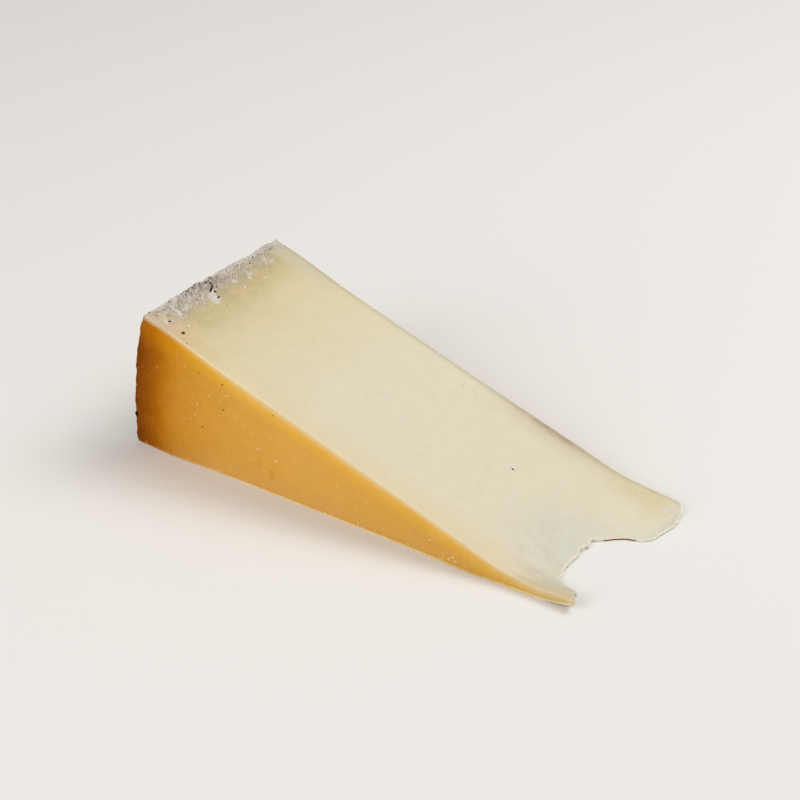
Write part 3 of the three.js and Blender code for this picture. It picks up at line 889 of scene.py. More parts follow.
class Term:
    """A number in a material. Arithmetic on terms adds Math nodes."""

    def __init__(self, paint, socket):
        self.paint = paint
        self.socket = socket

    def math(self, operation, *others):
        """A Math node on this term and the others."""
        return self.paint.math(operation, self, *others)

    def __add__(self, other):
        return self.math("ADD", other)

    __radd__ = __add__

    def __sub__(self, other):
        return self.math("SUBTRACT", other)

    def __rsub__(self, other):
        return self.paint.math("SUBTRACT", other, self)

    def __mul__(self, other):
        return self.math("MULTIPLY", other)

    __rmul__ = __mul__

    def __truediv__(self, other):
        return self.math("DIVIDE", other)

    def __pow__(self, other):
        return self.math("POWER", other)

    def least(self, other):
        """The smaller of two terms."""
        return self.math("MINIMUM", other)

    def most(self, other):
        """The larger of two terms."""
        return self.math("MAXIMUM", other)

    def rise(self, low, high):
        """0 below low, 1 above high and a smooth step between; low may be the larger one."""
        settings = {"interpolation_type": "SMOOTHSTEP"}
        sockets = {"Value": self, "From Min": low, "From Max": high}
        return self.paint.node("ShaderNodeMapRange", settings, sockets, "Result")

    def hump(self, centre, width):
        """A bell curve: 1 at the centre, falling off over the width."""
        away = (self - centre) / width
        return (-1 * away * away).math("EXPONENT")


def set_stops(elements, stops):
    """Lays a colour ramp's stops, each (share of the ramp, colour)."""
    while len(elements) < len(stops):
        elements.new(0.5)
    for element, (share, tint) in zip(elements, stops):
        element.position = share
        element.color = (*tint, 1.0)


class Paint:
    """One material's nodes around a Principled shader."""

    def __init__(self, name, roughness, constants=()):
        self.material = bpy.data.materials.new(name)
        self.material.use_nodes = True
        self.tree = self.material.node_tree
        self.shader = self.tree.nodes["Principled BSDF"]
        self.shader.inputs["Roughness"].default_value = roughness
        for socket, value in dict(constants).items():
            self.shader.inputs[socket].default_value = value

    def plug(self, socket, value):
        """Feeds a socket with a term, a colour or a number."""
        if isinstance(value, Term):
            self.tree.links.new(value.socket, socket)
        elif socket.type == "RGBA":
            socket.default_value = (*value, 1.0)
        else:
            socket.default_value = value

    def node(self, kind, settings, sockets, output):
        """Adds a node: its type, its settings, what feeds its sockets, and which output is wanted."""
        node = self.tree.nodes.new(kind)
        for name, value in settings.items():
            if name == "stops":
                set_stops(node.color_ramp.elements, value)
            else:
                setattr(node, name, value)
        for name, value in sockets.items():
            self.plug(node.inputs[name], value)
        return Term(self, node.outputs[output])

    def math(self, operation, *values):
        """A Math node on terms and numbers."""
        return self.node("ShaderNodeMath", {"operation": operation}, dict(enumerate(values)), 0)

    def mix(self, start, end, share):
        """The colour a share of the way from start to end. The Mix node's colours are sockets 6 and 7."""
        sockets = {0: share, 6: start, 7: end}
        return self.node("ShaderNodeMix", {"data_type": "RGBA"}, sockets, 2)

    def coats(self, tint, *layers):
        """A colour under thin coats, each (colour, how much of it), laid in their order."""
        for coat, share in layers:
            tint = self.mix(tint, coat, share)
        return tint

    def shade(self, tint, amount):
        """A colour made lighter or darker by a factor, through Vector Math."""
        factor = self.node("ShaderNodeCombineXYZ", {}, {"X": amount, "Y": amount, "Z": amount}, 0)
        return self.node("ShaderNodeVectorMath", {"operation": "MULTIPLY"}, {0: tint, 1: factor}, 0)

    def ramp(self, value, reach, stops):
        """Colours by distance: stops are (millimetres, colour), up to the reach."""
        shares = [(place / reach, tint) for place, tint in stops]
        return self.node("ShaderNodeValToRGB", {"stops": shares}, {"Fac": value / reach}, "Color")

    def gap(self, name):
        """A gap attribute, in millimetres."""
        return self.node("ShaderNodeAttribute", {"attribute_name": name}, {}, "Fac")

    def places(self):
        """Object coordinates: X, Y and Z in millimetres, as terms."""
        spot = self.node("ShaderNodeTexCoord", {}, {}, "Object")
        split = self.node("ShaderNodeSeparateXYZ", {}, {"Vector": spot}, "X")
        outputs = split.socket.node.outputs
        return [Term(self, outputs[axis]) / MM for axis in "XYZ"]

    def noise_at(self, spot, detail, roughness):
        """Noise from 0 to 1 at a spot, given in cells as a vector."""
        sockets = {"Vector": spot, "Scale": 1.0, "Detail": detail, "Roughness": roughness}
        return self.node("ShaderNodeTexNoise", {}, sockets, 0)

    def noise(self, cell, detail, roughness, stretch=(1, 1, 1), shift=0.0):
        """Noise from 0 to 1 whose cells are that many millimetres wide, stretched along the axes."""
        spot = self.node("ShaderNodeTexCoord", {}, {}, "Object")
        scale = [1 / (MM * cell * times) for times in stretch]
        sockets = {"Vector": spot, "Scale": scale, "Location": [shift] * 3}
        return self.noise_at(self.node("ShaderNodeMapping", {}, sockets, 0), detail, roughness)

    def combed(self, along, aside, shift, detail, roughness):
        """Noise from 0 to 1 on two terms, both in cells."""
        spot = self.node("ShaderNodeCombineXYZ", {}, {"X": along, "Y": aside, "Z": shift}, 0)
        return self.noise_at(spot, detail, roughness)

    def finish(self, sockets, bumps=()):
        """Feeds the shader's sockets, and lays the bumps, (height, millimetres), on one another."""
        for name, value in sockets.items():
            self.plug(self.shader.inputs[name], value)
        normal = None
        for height, deep in bumps:
            feeds = {"Height": height, "Distance": deep * MM, "Strength": 1.0}
            if normal is not None:
                feeds["Normal"] = normal
            normal = self.node("ShaderNodeBump", {}, feeds, "Normal")
        if normal is not None:
            self.plug(self.shader.inputs["Normal"], normal)
        return self.material


WAX = {
    "Subsurface Weight": 0.12,
    "Subsurface Radius": (1.0, 0.6, 0.3),
    "Subsurface Scale": 1.6 * MM,
    "Specular IOR Level": 0.03,
}
MATT = {"Specular IOR Level": 0.04}

# The grain of small things: its cell in millimetres, detail and roughness, and how deep its bumps are. The
# rind's X in the model's frame, in millimetres.
SPECK_GRAIN, SPECK_BUMP = (0.6, 3, 0.6), 0.06
RIND_X = float(MODEL_LOW[0] / MM)


def paste_colour(paint, colours, gaps, across, spot_x, cloudy, mottle):
    """The pale cut face: warm in front, thin at the bite, yellow on the tongue, aged at the crust."""
    rind, tip = gaps["rind"], gaps["tip"]
    worn_rind = rind + (cloudy - 0.5) * 9 + (mottle - 0.5) * 5 + across.rise(40, 58) * 2.5
    stops = (
        (0, srgb(176, 161, 134)), (7, srgb(187, 169, 131)), (11, colours.paste_aged),
        (15, srgb(207, 190, 147)), (21, srgb(218, 203, 163)), (34, srgb(222, 209, 173)), (70, colours.paste),
    )  # fmt: skip
    tongue = tip.hump(17, 13) * across.hump(70, 7) + tip.hump(9, 6) * across.hump(65, 8) * 0.5
    # Where along X the painted shade on the back edge lies.
    shading = spot_x.hump(-42, 19) * 0.92
    smudges = paint.noise(3.6, 3, 0.5, stretch=(2, 1, 1), shift=37).rise(0.47, 0.68)
    streaks = paint.noise(1.1, 2, 0.5, stretch=(12, 1, 1), shift=17).rise(0.48, 0.72)
    warmth = paint.noise(3.4, 3, 0.6, shift=23).rise(0.48, 0.7)
    freckles = paint.noise(1.2, 2, 0.6, shift=53).rise(0.5, 0.72)
    speckle = paint.noise(0.7, 2, 0.6, shift=29)
    paste = paint.coats(
        paint.ramp(worn_rind, 90, stops),
        # The front edge, warm with painted glow, the two corners beside the crust and the glassy band between
        # them.
        (colours.paste_warm, across.rise(15, 1) * 0.6),
        (colours.paste_corner_warm, across.rise(11, 2) * rind.rise(38, 14) * 0.6),
        (colours.pink, across.rise(9, 2) * rind.rise(17, 8) * 0.7),
        (colours.paste_aged, rind.hump(17, 6) * across.hump(24, 10) * 0.35),
        (colours.paste_corner, across.rise(63, 70) * rind.rise(34, 16) * 0.75),
        # The bite, the tongue, painted shade on the horn and beside its fold, and the tongue's bevel.
        (colours.paste_cool, tip.rise(34, 3) * across.hump(28, 22) * 0.9),
        (colours.paste_tongue, tongue.least(1) * 0.75),
        (colours.horn_shade_and_smudges, tip.rise(24, 8) * across.rise(13, 4) * 0.85),
        (colours.horn_fold_shade, tip.rise(30, 14) * across.rise(3.4, 0.8) * 0.85),
        (colours.paste_cool, tip.rise(4.5, 1) * across.rise(46, 52) * 0.7),
        # The back edge, darker towards it, and painted pinkish shade along part of it.
        (colours.paste_dusk, across.rise(70.5, 73.8) * 0.6),
        (colours.shade, shading * (across.rise(61, 73) * 0.3 + across.rise(69, 74) * 0.5)),
        # Soft smudges and streaks along the wedge near the bite, and a warm and yellow mottle all over.
        (colours.horn_shade_and_smudges, tip.rise(26, 8) * smudges * across.rise(40, 25) * 0.3),
        (colours.crumb_and_highlight, tip.rise(30, 10) * streaks * 0.13),
        (colours.paste_warm, warmth * 0.27),
        (colours.paste_tongue, freckles * 0.14),
    )
    return paint.shade(paste, 0.883 + mottle * 0.08 + cloudy * 0.04 + speckle * 0.12)


def amber_colour(paint, colours, gaps, across, spot_x, mottle, grain):
    """The flanks: painted glow under the upper edge, a painted lit band, duller below, dark beside the rind.
    """
    rind, tip, top, base = gaps["rind"], gaps["tip"], gaps["top"], gaps["base"]
    depth = top + (mottle - 0.5) * 0.6
    aged = rind + (mottle - 0.5) * 4
    body_stops = (
        (0, colours.amber_dark), (3, srgb(134, 68, 0)), (6, srgb(148, 80, 0)), (11, srgb(172, 103, 6)),
        (16, srgb(193, 128, 30)), (21, srgb(202, 140, 44)), (31, srgb(210, 150, 56)),
        (42, srgb(214, 156, 65)), (72, colours.amber), (115, srgb(214, 161, 72)),
        (134, srgb(204, 153, 68)), (150, srgb(199, 152, 64)),
    )  # fmt: skip
    # The band is painted light: brighter under the upper edge, where light from above shines through.
    band_stops = (
        (0, srgb(158, 92, 0)), (6, srgb(182, 110, 0)), (11, srgb(196, 128, 12)), (16, srgb(206, 140, 22)),
        (21, srgb(216, 154, 36)), (31, srgb(222, 163, 48)), (42, srgb(228, 174, 68)),
        (72, colours.amber_lit), (134, srgb(222, 170, 70)), (150, srgb(216, 168, 76)),
    )  # fmt: skip
    band = paint.ramp(aged, 150, band_stops)
    amber = paint.coats(
        paint.ramp(aged, 150, body_stops),
        (colours.amber_foot, base.rise(10, 1) * rind.rise(8, 40) * tip.rise(20, 60) * 0.6),
        (band, depth.rise(9, 2).most(depth.rise(14, 3) * rind.rise(26, 12))),
        (colours.amber_tip, tip.rise(24, 3) * 0.95),
    )

    # The glow, painted light through the upper edge: its depth, and its colour, which fades into the flank.
    width = 3.9 + rind.rise(30, 55) * tip.rise(60, 80) * 1.2 - tip.rise(36, 16) * 1.1 - tip.rise(14, 5) * 1.2
    beside_crust = rind.rise(23, 12) * 0.5
    width = width - beside_crust - rind.rise(44, 26) * 0.45
    down = (depth - beside_crust).most(0) / width
    light = paint.coats(
        colours.glow_crust,
        (colours.glow, rind.rise(6, 24)),
        (paint.mix(band, colours.glow_low, rind.rise(6, 30)), down.rise(0, 0.7)),
        (colours.horn_end, tip.rise(34, 14) * 0.7),
    )
    amber = paint.coats(amber, (light, (1 - down).most(0)), (colours.horn_end, tip.rise(3, 0.3) * 0.8))

    # Two stains near the foot: bent rings, (at X, height, how strong).
    bent = paint.noise(1.8, 2, 0.5, shift=41) - 0.5
    for place, height, strength in ((-114.9, 9.6, 0.35), (-109.5, 7.6, 0.7)):
        ring = ((spot_x - place + bent * 1.4) / 0.7) ** 2 + ((base - height - bent * 2) / 1.6) ** 2
        seen = ring.hump(1, 0.7) * grain.rise(0.35, 0.6) * across.rise(20, 10)
        amber = paint.mix(amber, colours.ring, seen * strength)
    foot_shade = base.rise(9, 1) * rind.rise(40, 12) * 0.13
    clouds = paint.noise(11, 2, 0.5, shift=43)
    return paint.shade(amber, 0.9 - foot_shade + clouds * 0.06 + mottle * 0.07 + grain * 0.07)


def hair_lines(paint, cell, shift, fineness):
    """Fine curved hairs: the lines along which a noise passes its middle, broken up by another noise."""
    field = paint.noise(cell, 2, 0.5, shift=shift)
    away = (field - 0.5).math("ABSOLUTE")
    gate = paint.noise(cell * 1.3, 2, 0.5, shift=shift + 7)
    return away.rise(fineness, fineness * 0.25) * gate.rise(0.56, 0.68)


def crust_colours(paint, colours, gaps, across, grain, patches, chalky):
    """The crust on a cut face: its colour, how much of it, how much white lies on it, and its fibres."""
    rind = gaps["rind"]
    warp = paint.noise(3.0, 3, 0.6, shift=3)
    turn = (across - FIBRE_TURN / MM) / (FIBRE_TURN_WIDTH / MM)
    slant = FIBRE_SLANT_FRONT + turn.rise(0, 1) * (FIBRE_SLANT - FIBRE_SLANT_FRONT)
    combed = across + rind * slant + (warp - 0.5) * 5.5
    fibres = paint.combed(rind / 2.8, combed / 1.0, 0, 3, 0.55)
    fine = paint.combed(rind / 1.2, combed / 0.36, 9, 1, 0.5)
    blotches = paint.noise(1.9, 3, 0.65, shift=13)

    far = across.rise(36, 50) * 2.4 + across.rise(58, 66) * 1.6
    reach = rind + far - (patches - 0.5) * 12 - (fibres - 0.5) * 8 - (blotches - 0.5) * 5
    bare = paint.noise(2.6, 3, 0.6, shift=47).rise(0.5, 0.64)
    amount = reach.rise(10.5, 4) * (1 - across.rise(40, 50) * 0.3) * (1 - bare * rind.rise(0.5, 4) * 0.7)
    dusky = across.rise(14, 21) * across.rise(42, 34) * reach.rise(6, 1.5)
    grey = paint.coats(
        colours.crust_grey,
        (colours.crust_warm, across.rise(17, 5) * 0.85),
        (colours.crust_dusk, dusky * 0.9),
        (colours.crust_dark, across.hump(33, 4) * rind.rise(5, 2) * 0.4),
    )
    grey = paint.shade(grey, 0.9 + blotches * 0.2)
    pits = fibres.rise(0.46, 0.34) * 0.6 + fine.rise(0.44, 0.3) * blotches.rise(0.6, 0.4) * 0.6
    grey = paint.mix(grey, colours.crust_dark, pits * (0.5 + dusky * 0.35))

    streaks = fibres.rise(0.47, 0.64) * (0.55 + fine.rise(0.38, 0.62) * 0.45)
    thick = 0.35 + blotches.rise(0.4, 0.6) * 0.65
    solid = (chalky + (blotches - 0.5) * 1.1 + (fibres - 0.5) * 0.9 + (fine - 0.5) * 0.3).rise(0.3, 0.75)
    rim = rind.rise(1.1, 0.3) * grain.rise(0.35, 0.55) + rind.hump(0.9, 0.4) * across.rise(34, 44)
    white = (streaks * thick * reach.rise(12, 6) * 0.75).most(solid).most(rim * 0.7)
    return grey, amount, white.least(1) * 0.9, fibres


def cheese_material(colours, form):
    """The wedge's skin: pale cut faces, amber flanks, the crust and the rind, told apart by the gaps."""
    paint = Paint("cheese skin", 0.45, WAX)
    gaps = {name: paint.gap(name) for name in ("top", "base", "side", "rind", "tip")}
    top, base, side, rind, tip = gaps.values()
    x, y, _ = paint.places()
    spot_x = x - float(form.origin[0] / MM)
    across = y - float(form.origin[1] / MM)
    cut = top.least(base)

    cloudy = paint.noise(26, 3, 0.55)
    mottle = paint.noise(5.5, 4, 0.6)
    grain = paint.noise(0.9, 3, 0.6)
    patches = paint.noise(4.2, 3, 0.6)

    paste = paste_colour(paint, colours, gaps, across, spot_x, cloudy, mottle)
    amber = amber_colour(paint, colours, gaps, across, spot_x, mottle, grain)
    hairs = hair_lines(paint, 4.0, 0.0, 0.011).most(hair_lines(paint, 2.6, 3.0, 0.016) * 0.8)
    amber = paint.mix(amber, colours.hair, hairs * top.rise(1.5, 4) * (0.13 + rind.rise(8, 24) * 0.22))
    chalky = paint.gap("chalk")
    crust, crusty, white, fibres = crust_colours(paint, colours, gaps, across, grain, patches, chalky)
    flank = (cut - side + (grain - 0.5) * 0.25).rise(-0.1, 0.14)
    inland = across.rise(0.5, 9)

    # Worn edges with painted highlights: thin light lines where a flank meets a cut face, and along the
    # bitten edge.
    rubbed_and_lit = (top + side + tip.rise(34, 16) * 0.08).rise(0.5, 0.1) * (0.3 + grain.rise(0.35, 0.6) * 0.7)
    # How strongly the painted edge highlight shows along the edge.
    worn = 0.75 - rind.rise(22, 12) * 0.45 - rind.rise(50, 110) * tip.rise(22, 40) * 0.45
    worn = worn - tip.rise(30, 16) * 0.25
    # Painted highlight, partly a worn lip: a thin light line along the flanks' foot.
    foot_line = (base + side).rise(0.95, 0.5) * (0.4 + grain.rise(0.3, 0.6) * 0.6)
    along_foot = 0.3 + rind.rise(25, 50) * 0.7 - tip.hump(38, 14) * 0.65
    foot_tone = paint.mix(colours.foot_highlight, colours.edge_highlight, tip.rise(24, 6) * 0.7)
    # Crumbs and a painted highlight: a light line along the rounded back edge of the cut face.
    back_ends = rind.rise(70, 24) * 0.75 + tip.rise(44, 24) * 0.75 + 0.2
    back_line = across.rise(73.25, 73.55) * back_ends * top.rise(0.4, 0.1)
    # Painted shade: a dark line just inside the back edge.
    back_groove_shade = across.hump(72.95, 0.3) * (rind.rise(60, 20) * 0.75 + 0.25) * top.rise(0.5, 0.1)
    # The bitten edge's light line: crumbly, and partly a painted highlight.
    nibbled_and_lit = tip.rise(0.8, 0.35) * (0.55 + grain.rise(0.25, 0.55) * 0.45)
    nibbled_and_lit = nibbled_and_lit * (0.3 + across.rise(1, 9) * 0.7) * (1 - flank * 0.6)
    undercut = tip.rise(0.3, 0.1) * base.rise(0.75, 0.45) * across.rise(40, 41.5) * across.rise(47.4, 46.8)

    # The rind itself, dull brown with grey and chalky bloom. Its thin edge shows on the flanks.
    rim = top.rise(3.5, 0.4) * across.rise(1, 6)
    rind_skin, rind_relief = rind_colour(paint, colours, grain, mottle, rim)
    on_end = (cut.least(side) - rind).rise(-0.1, 0.3)
    wrapped = on_end.most(flank * rind.rise(0.4, 0.15))

    skin = paint.coats(
        paste,
        (crust, crusty * inland),
        (colours.crust_white, white * (0.25 + inland * 0.75)),
        (amber, flank),
        (colours.edge_highlight, rubbed_and_lit * worn),
    )
    # A faint darker line on the flanks just above their foot.
    skin = paint.shade(skin, 1 - base.hump(1.3, 0.5) * side.rise(0.3, 0.1) * rind.rise(30, 50) * 0.05)
    skin = paint.coats(
        skin,
        (foot_tone, foot_line * along_foot * 0.85),
        (colours.crumb_and_highlight, back_line * (0.35 + grain.rise(0.35, 0.6) * 0.55)),
        (colours.paste_dusk, back_groove_shade * 0.75),
        (colours.crumb_and_highlight, nibbled_and_lit * 0.9),
        (colours.undercut, undercut),
        (rind_skin, wrapped),
    )
    dry = ((crusty + white) * (1 - flank)).least(1).most(wrapped)
    roughness = 0.42 + grain * 0.08 + dry * 0.35
    bumps = ((grain, 0.05), (mottle, 0.1), (fibres * dry, 0.25), (rind_relief * wrapped, 0.6))
    return paint.finish({"Base Color": skin, "Roughness": roughness}, bumps)


def rind_colour(paint, colours, grain, mottle, rim):
    """The rind: brown, clouded with grey, dusted with chalky bloom and pitted, chalky at its rim."""
    clouds = paint.noise(7, 5, 0.68, shift=5)
    dust = paint.noise(2.1, 5, 0.72, shift=19)
    pits = paint.noise(1.1, 3, 0.6, shift=11)
    tone = paint.mix(colours.rind_brown, colours.rind_grey, clouds.rise(0.3, 0.68))
    tone = paint.mix(tone, colours.crust_white, dust.rise(0.5, 0.66) * clouds.rise(0.3, 0.6) * 0.65)
    tone = paint.mix(tone, colours.rind_pore, pits.rise(0.4, 0.3) * 0.55)
    tone = paint.mix(tone, colours.crust_white, rim * (0.3 + mottle.rise(0.35, 0.6) * 0.5))
    return paint.shade(tone, 0.86 + grain * 0.28), (dust + pits) * 0.5


def speck_material(name, tint, other, roughness, constants=MATT):
    """Small things that lie on the skin: one colour that shades into another, with a fine grain."""
    paint = Paint(name, roughness, constants)
    grain = paint.noise(*SPECK_GRAIN)
    mottle = paint.noise(2.5, 2, 0.5)
    body = paint.mix(tint, other, grain * 0.4 + mottle.rise(0.35, 0.7) * 0.4)
    return paint.finish({"Base Color": body}, ((grain, SPECK_BUMP),))


def dot_material(colours):
    """The brown dots: dull on the cut face and beside the rind, warmer on the flanks."""
    paint = Paint("rusty marks", 0.7, MATT)
    x, y, _ = paint.places()
    grain = paint.noise(*SPECK_GRAIN)
    on_flank = y.math("ABSOLUTE").rise(36.2, 36.4) * (x - RIND_X).rise(2, 6)
    tint = paint.mix(colours.rust, colours.amber_dot, on_flank)
    other = paint.mix(colours.rust_dark, colours.amber_dark, on_flank)
    body = paint.mix(tint, other, grain * 0.7)
    return paint.finish({"Base Color": body}, ((grain, SPECK_BUMP),))


def crystal_material(colours):
    """The flecks of the flanks, duller beside the rind, where the flanks are darker too."""
    paint = Paint("crystals", 0.5, MATT)
    x, _, _ = paint.places()
    grain = paint.noise(*SPECK_GRAIN)
    body = paint.mix(colours.crystal_dark, colours.crystal, (x - RIND_X).rise(4, 32))
    body = paint.mix(body, colours.amber, grain * 0.4)
    return paint.finish({"Base Color": body}, ((grain, SPECK_BUMP),))


# --- The wedge ------------------------------------------------------------------------------------


class CHEESE_OT_wedge(bpy.types.Operator):
    """Build the wedge's skin, with its fine relief and its material"""

    bl_idname = "cheese.wedge"
    bl_label = "Wedge"

    def execute(self, context):
        scene = context.scene
        form = WedgeForm(scene.cheese_sizes)
        points, faces, gaps = wedge_skin(form)
        material = cheese_material(scene.cheese_colours, form)
        piece = make_piece(WEDGE_NAME, points + form.origin, faces, material)
        relief = form.relief(points, gaps["rind"], gaps["tip"])
        moved = points + point_normals(piece.data) * relief[:, None]
        moved[:, 2] = np.where(gaps["base"] <= 0, np.maximum(points[:, 2], 0), np.maximum(moved[:, 2], 0))
        set_points(piece.data, moved + form.origin)
        for name in ("top", "base", "rind", "tip"):
            set_gap(piece.data, name, gaps[name])
        set_gap(piece.data, "side", np.minimum(gaps["front"], gaps["back"]))
        set_gap(piece.data, "chalk", MM * chalk(points[:, 0], points[:, 1]))
        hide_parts(NODE)
        return {"FINISHED"}


# --- What lies on the wedge -----------------------------------------------------------------------


def rim_x(form, y):
    """X of the rind's upper rim at Y, all in millimetres."""
    return form.rind_x(y * MM, np.full(len(y), RIM_HEIGHT * MM)) / MM


def fibre_heading(y):
    """Which way the crust's fibres run at Y in millimetres: in from the rim, and to the front."""
    return -np.degrees(np.arctan(fibre_slant(np.array(y) * MM)))


class CHEESE_OT_crust_fibres(bpy.types.Operator):
    """Lay the white fibres and scrapes of the crust, the curls, and the bloom on the rind"""

    bl_idname = "cheese.crust_fibres"
    bl_label = "White fibres"

    def execute(self, context):
        lumps = Lumps(context, seed=101)
        counts, colours, random = lumps.counts, lumps.colours, lumps.random
        lumps.lay_marks("top", WHITE_MARKS, THICK["white"], WIDER)
        for x, y, radius, start, end in CURLS:
            for turn in range(start, end, CURL_STEP):
                spot = x + radius * cos(radians(turn)), y + radius * sin(radians(turn))
                lumps.lay("top", spot, (CURL_LONG, CURL_WIDE, THICK["curl"]), turn + 90, CURL_BEND)
        self.strew_fibres(lumps, counts.fibres)
        for gap, y, turn in lumps.spread(counts.rim_flakes, (0.1, 0.7), (1, 73), (60, 120)):
            rim = rim_x(lumps.form, np.array([y]))[0]
            lumps.lay("top", (rim + gap, y), random.uniform(*RIM_FLAKE_SIZES), turn)
        for y, z, turn in lumps.spread(counts.rind_flakes, (2, 72), (1, 49), (-90, 90)):
            lumps.lay("rind", (y, z), random.uniform(*RIND_FLAKE_SIZES), turn)
        lumps.build("white_fibres", speck_material("white fibres", colours.fibre, colours.fibre_shade, 0.8))
        return {"FINISHED"}

    def strew_fibres(self, lumps, amount):
        """Combed slivers, thickest at the rim and on the chalky patches."""
        random = lumps.random
        rind_gap = FIBRES_START + random.exponential(FIBRES_DEPTH, amount * FIBRE_TRIES)
        y = random.uniform(1.5, 72.5, amount * FIBRE_TRIES)
        x = rim_x(lumps.form, y) + rind_gap
        likely = FIBRES_ANYWHERE + FIBRES_ON_CHALK * chalk(x * MM, y * MM)
        marks = np.array([mark[:2] for mark in DARK_MARKS])
        away = np.min(np.hypot(x[:, None] - marks[:, 0], y[:, None] - marks[:, 1]), axis=1)
        kept = (random.uniform(0, 1, len(y)) < likely) & (rind_gap < FIBRES_REACH) & (away > FIBRES_CLEAR)
        for spot_x, spot_y in zip(x[kept][:amount], y[kept][:amount]):
            size = random.uniform(*FIBRE_SIZES)
            heading = fibre_heading(spot_y) + random.normal(0, FIBRES_STRAY)
            lumps.lay("top", (spot_x, spot_y), size, heading, random.normal(0, 0.2))


class CHEESE_OT_dark_marks(bpy.types.Operator):
    """Lay the dark cracks and spots of the crust, and the pores on the rind"""

    bl_idname = "cheese.dark_marks"
    bl_label = "Dark marks"

    def execute(self, context):
        lumps = Lumps(context, seed=201)
        colours, random = lumps.colours, lumps.random
        lumps.lay_marks("top", DARK_MARKS, THICK["dark"], WIDER)
        for _ in range(lumps.counts.dark_specks):
            y = random.uniform(3, 70)
            x = SPECKS_START + random.exponential(SPECKS_DEPTH)
            size = random.uniform(*DARK_SPECK_SIZES)
            lumps.lay("top", (x, y), size, fibre_heading(y) + random.normal(0, SPECKS_STRAY))
        for _ in range(lumps.counts.rind_pores):
            size = random.uniform(*PORE_SIZES)
            lumps.lay("rind", random.uniform((2, 1), (72, 48)), size, random.uniform(-90, 90))
        lumps.lay("front", EDGE_SPOT, EDGE_SPOT_SIZE, EDGE_SPOT_HEADING)
        lumps.build("dark_marks", speck_material("dark marks", colours.mould, colours.rust_dark, 0.8))
        return {"FINISHED"}


class CHEESE_OT_rusty_marks(bpy.types.Operator):
    """Lay the brown dots of the cut face and the flanks, and the reddish strokes at the front corner"""

    bl_idname = "cheese.rusty_marks"
    bl_label = "Rusty marks"

    def execute(self, context):
        lumps = Lumps(context, seed=301)
        lumps.lay_marks("top", RUSTY_MARKS, THICK["dot"])
        for x, z, long, wide in FLANK_DOTS:
            size = (long, wide, THICK["dot"])
            lumps.lay("front", (x, z), size)
            lumps.lay("back", (x + BACK_DOT_SHIFT, z * BACK_DOT_HEIGHT), size)
        lumps.build("rusty_marks", dot_material(lumps.colours))
        return {"FINISHED"}


class CHEESE_OT_crystals(bpy.types.Operator):
    """Lay the light crystals and hairs of the flanks, and the crumbs along their foot"""

    bl_idname = "cheese.crystals"
    bl_label = "Crystals"

    def execute(self, context):
        lumps = Lumps(context, seed=401)
        counts, random = lumps.counts, lumps.random
        for x, z, long, wide, *turns in FLANK_MARKS:
            grown = float(smooth((x - MARKS_SHRINK_AT) / MARKS_SHRINK_WIDTH))
            share = SMALLEST_MARKS + (1 - SMALLEST_MARKS) * grown
            lumps.lay("front", (x, z), (share * long, share * wide, THICK["flank"]), *turns)
        for side, amount in (("front", counts.hairs // 2), ("back", counts.hairs)):
            for _ in range(amount):
                x = HAIRS_START + HAIRS_LENGTH * random.uniform(0, 1) ** HAIRS_CROWD
                z = random.uniform(HAIRS_FOOT, max(-FACE_FALL * x - FACE_CLEAR, FACE_CLEAR))
                size = random.uniform(*HAIR_SIZES)
                lumps.lay(side, (x, z), size, random.uniform(-90, 90), random.normal(0, 0.35))
        for spot in FOOT_CRUMBS:
            lumps.lay("front", spot, random.uniform(*FOOT_CRUMB_SIZES), random.uniform(-30, 30))
        for x in random.uniform(-165, -10, counts.foot_crumbs):
            side = random.choice(("front", "back"))
            lumps.lay(side, (x, random.uniform(0.4, 1.2)), random.uniform(*FOOT_GRAIN_SIZES))
        lumps.build("crystals", crystal_material(lumps.colours))
        return {"FINISHED"}


class CHEESE_OT_crumbs(bpy.types.Operator):
    """Lay the crumbs along the cut face's back edge and the bitten edge"""

    bl_idname = "cheese.crumbs"
    bl_label = "Crumbs"

    def execute(self, context):
        lumps = Lumps(context, seed=501)
        colours, random = lumps.colours, lumps.random
        lumps.lay_marks("top", BRIGHT_MARKS, THICK["bright"])
        lumps.lay("top", DOT_RING, DOT_RING_SIZE)
        for x in EDGE_CRUMBS:
            lumps.lay("top", (x, EDGE_CRUMBS_Y), random.uniform(*EDGE_CRUMB_SIZES), random.uniform(-15, 15))
        for y in random.uniform(0.8, 73.4, lumps.counts.bite_crumbs):
            x = float(lumps.form.edge_x(np.array([y * MM]))[0] / MM) - random.uniform(0.15, 0.5)
            size = random.uniform(*BITE_CRUMB_SIZES)
            lumps.lay("top", (x, y), size, random.uniform(-90, 90))
        lumps.build("crumbs", speck_material("crumbs", colours.crumb_and_highlight, colours.paste, 0.6, WAX))
        return {"FINISHED"}


# --- The studio -----------------------------------------------------------------------------------


# The lamps, above and behind the wedge and in front of it, the floor's half width and the camera's sensor.
KEY_SIZE, KEY_PLACE = 0.7, (0.35, 0.55, 0.95)
FILL_SIZE, FILL_PLACE = 0.9, (-0.25, -1.0, 0.55)
FLOOR_HALF = 3.0
SENSOR_WIDTH = 36


def aim(thing, place, target):
    """Puts a lamp or camera at a place, looking at the target."""
    thing.location = place
    thing.rotation_euler = (Vector(target) - Vector(place)).to_track_quat("-Z", "Y").to_euler()


def soft_lamp(name, power, size, place, target):
    """A square area lamp."""
    data = bpy.data.lights.new(name, "AREA")
    data.energy = power
    data.size = size
    lamp = bpy.data.objects.new(name, data)
    bpy.context.scene.collection.objects.link(lamp)
    aim(lamp, place, target)


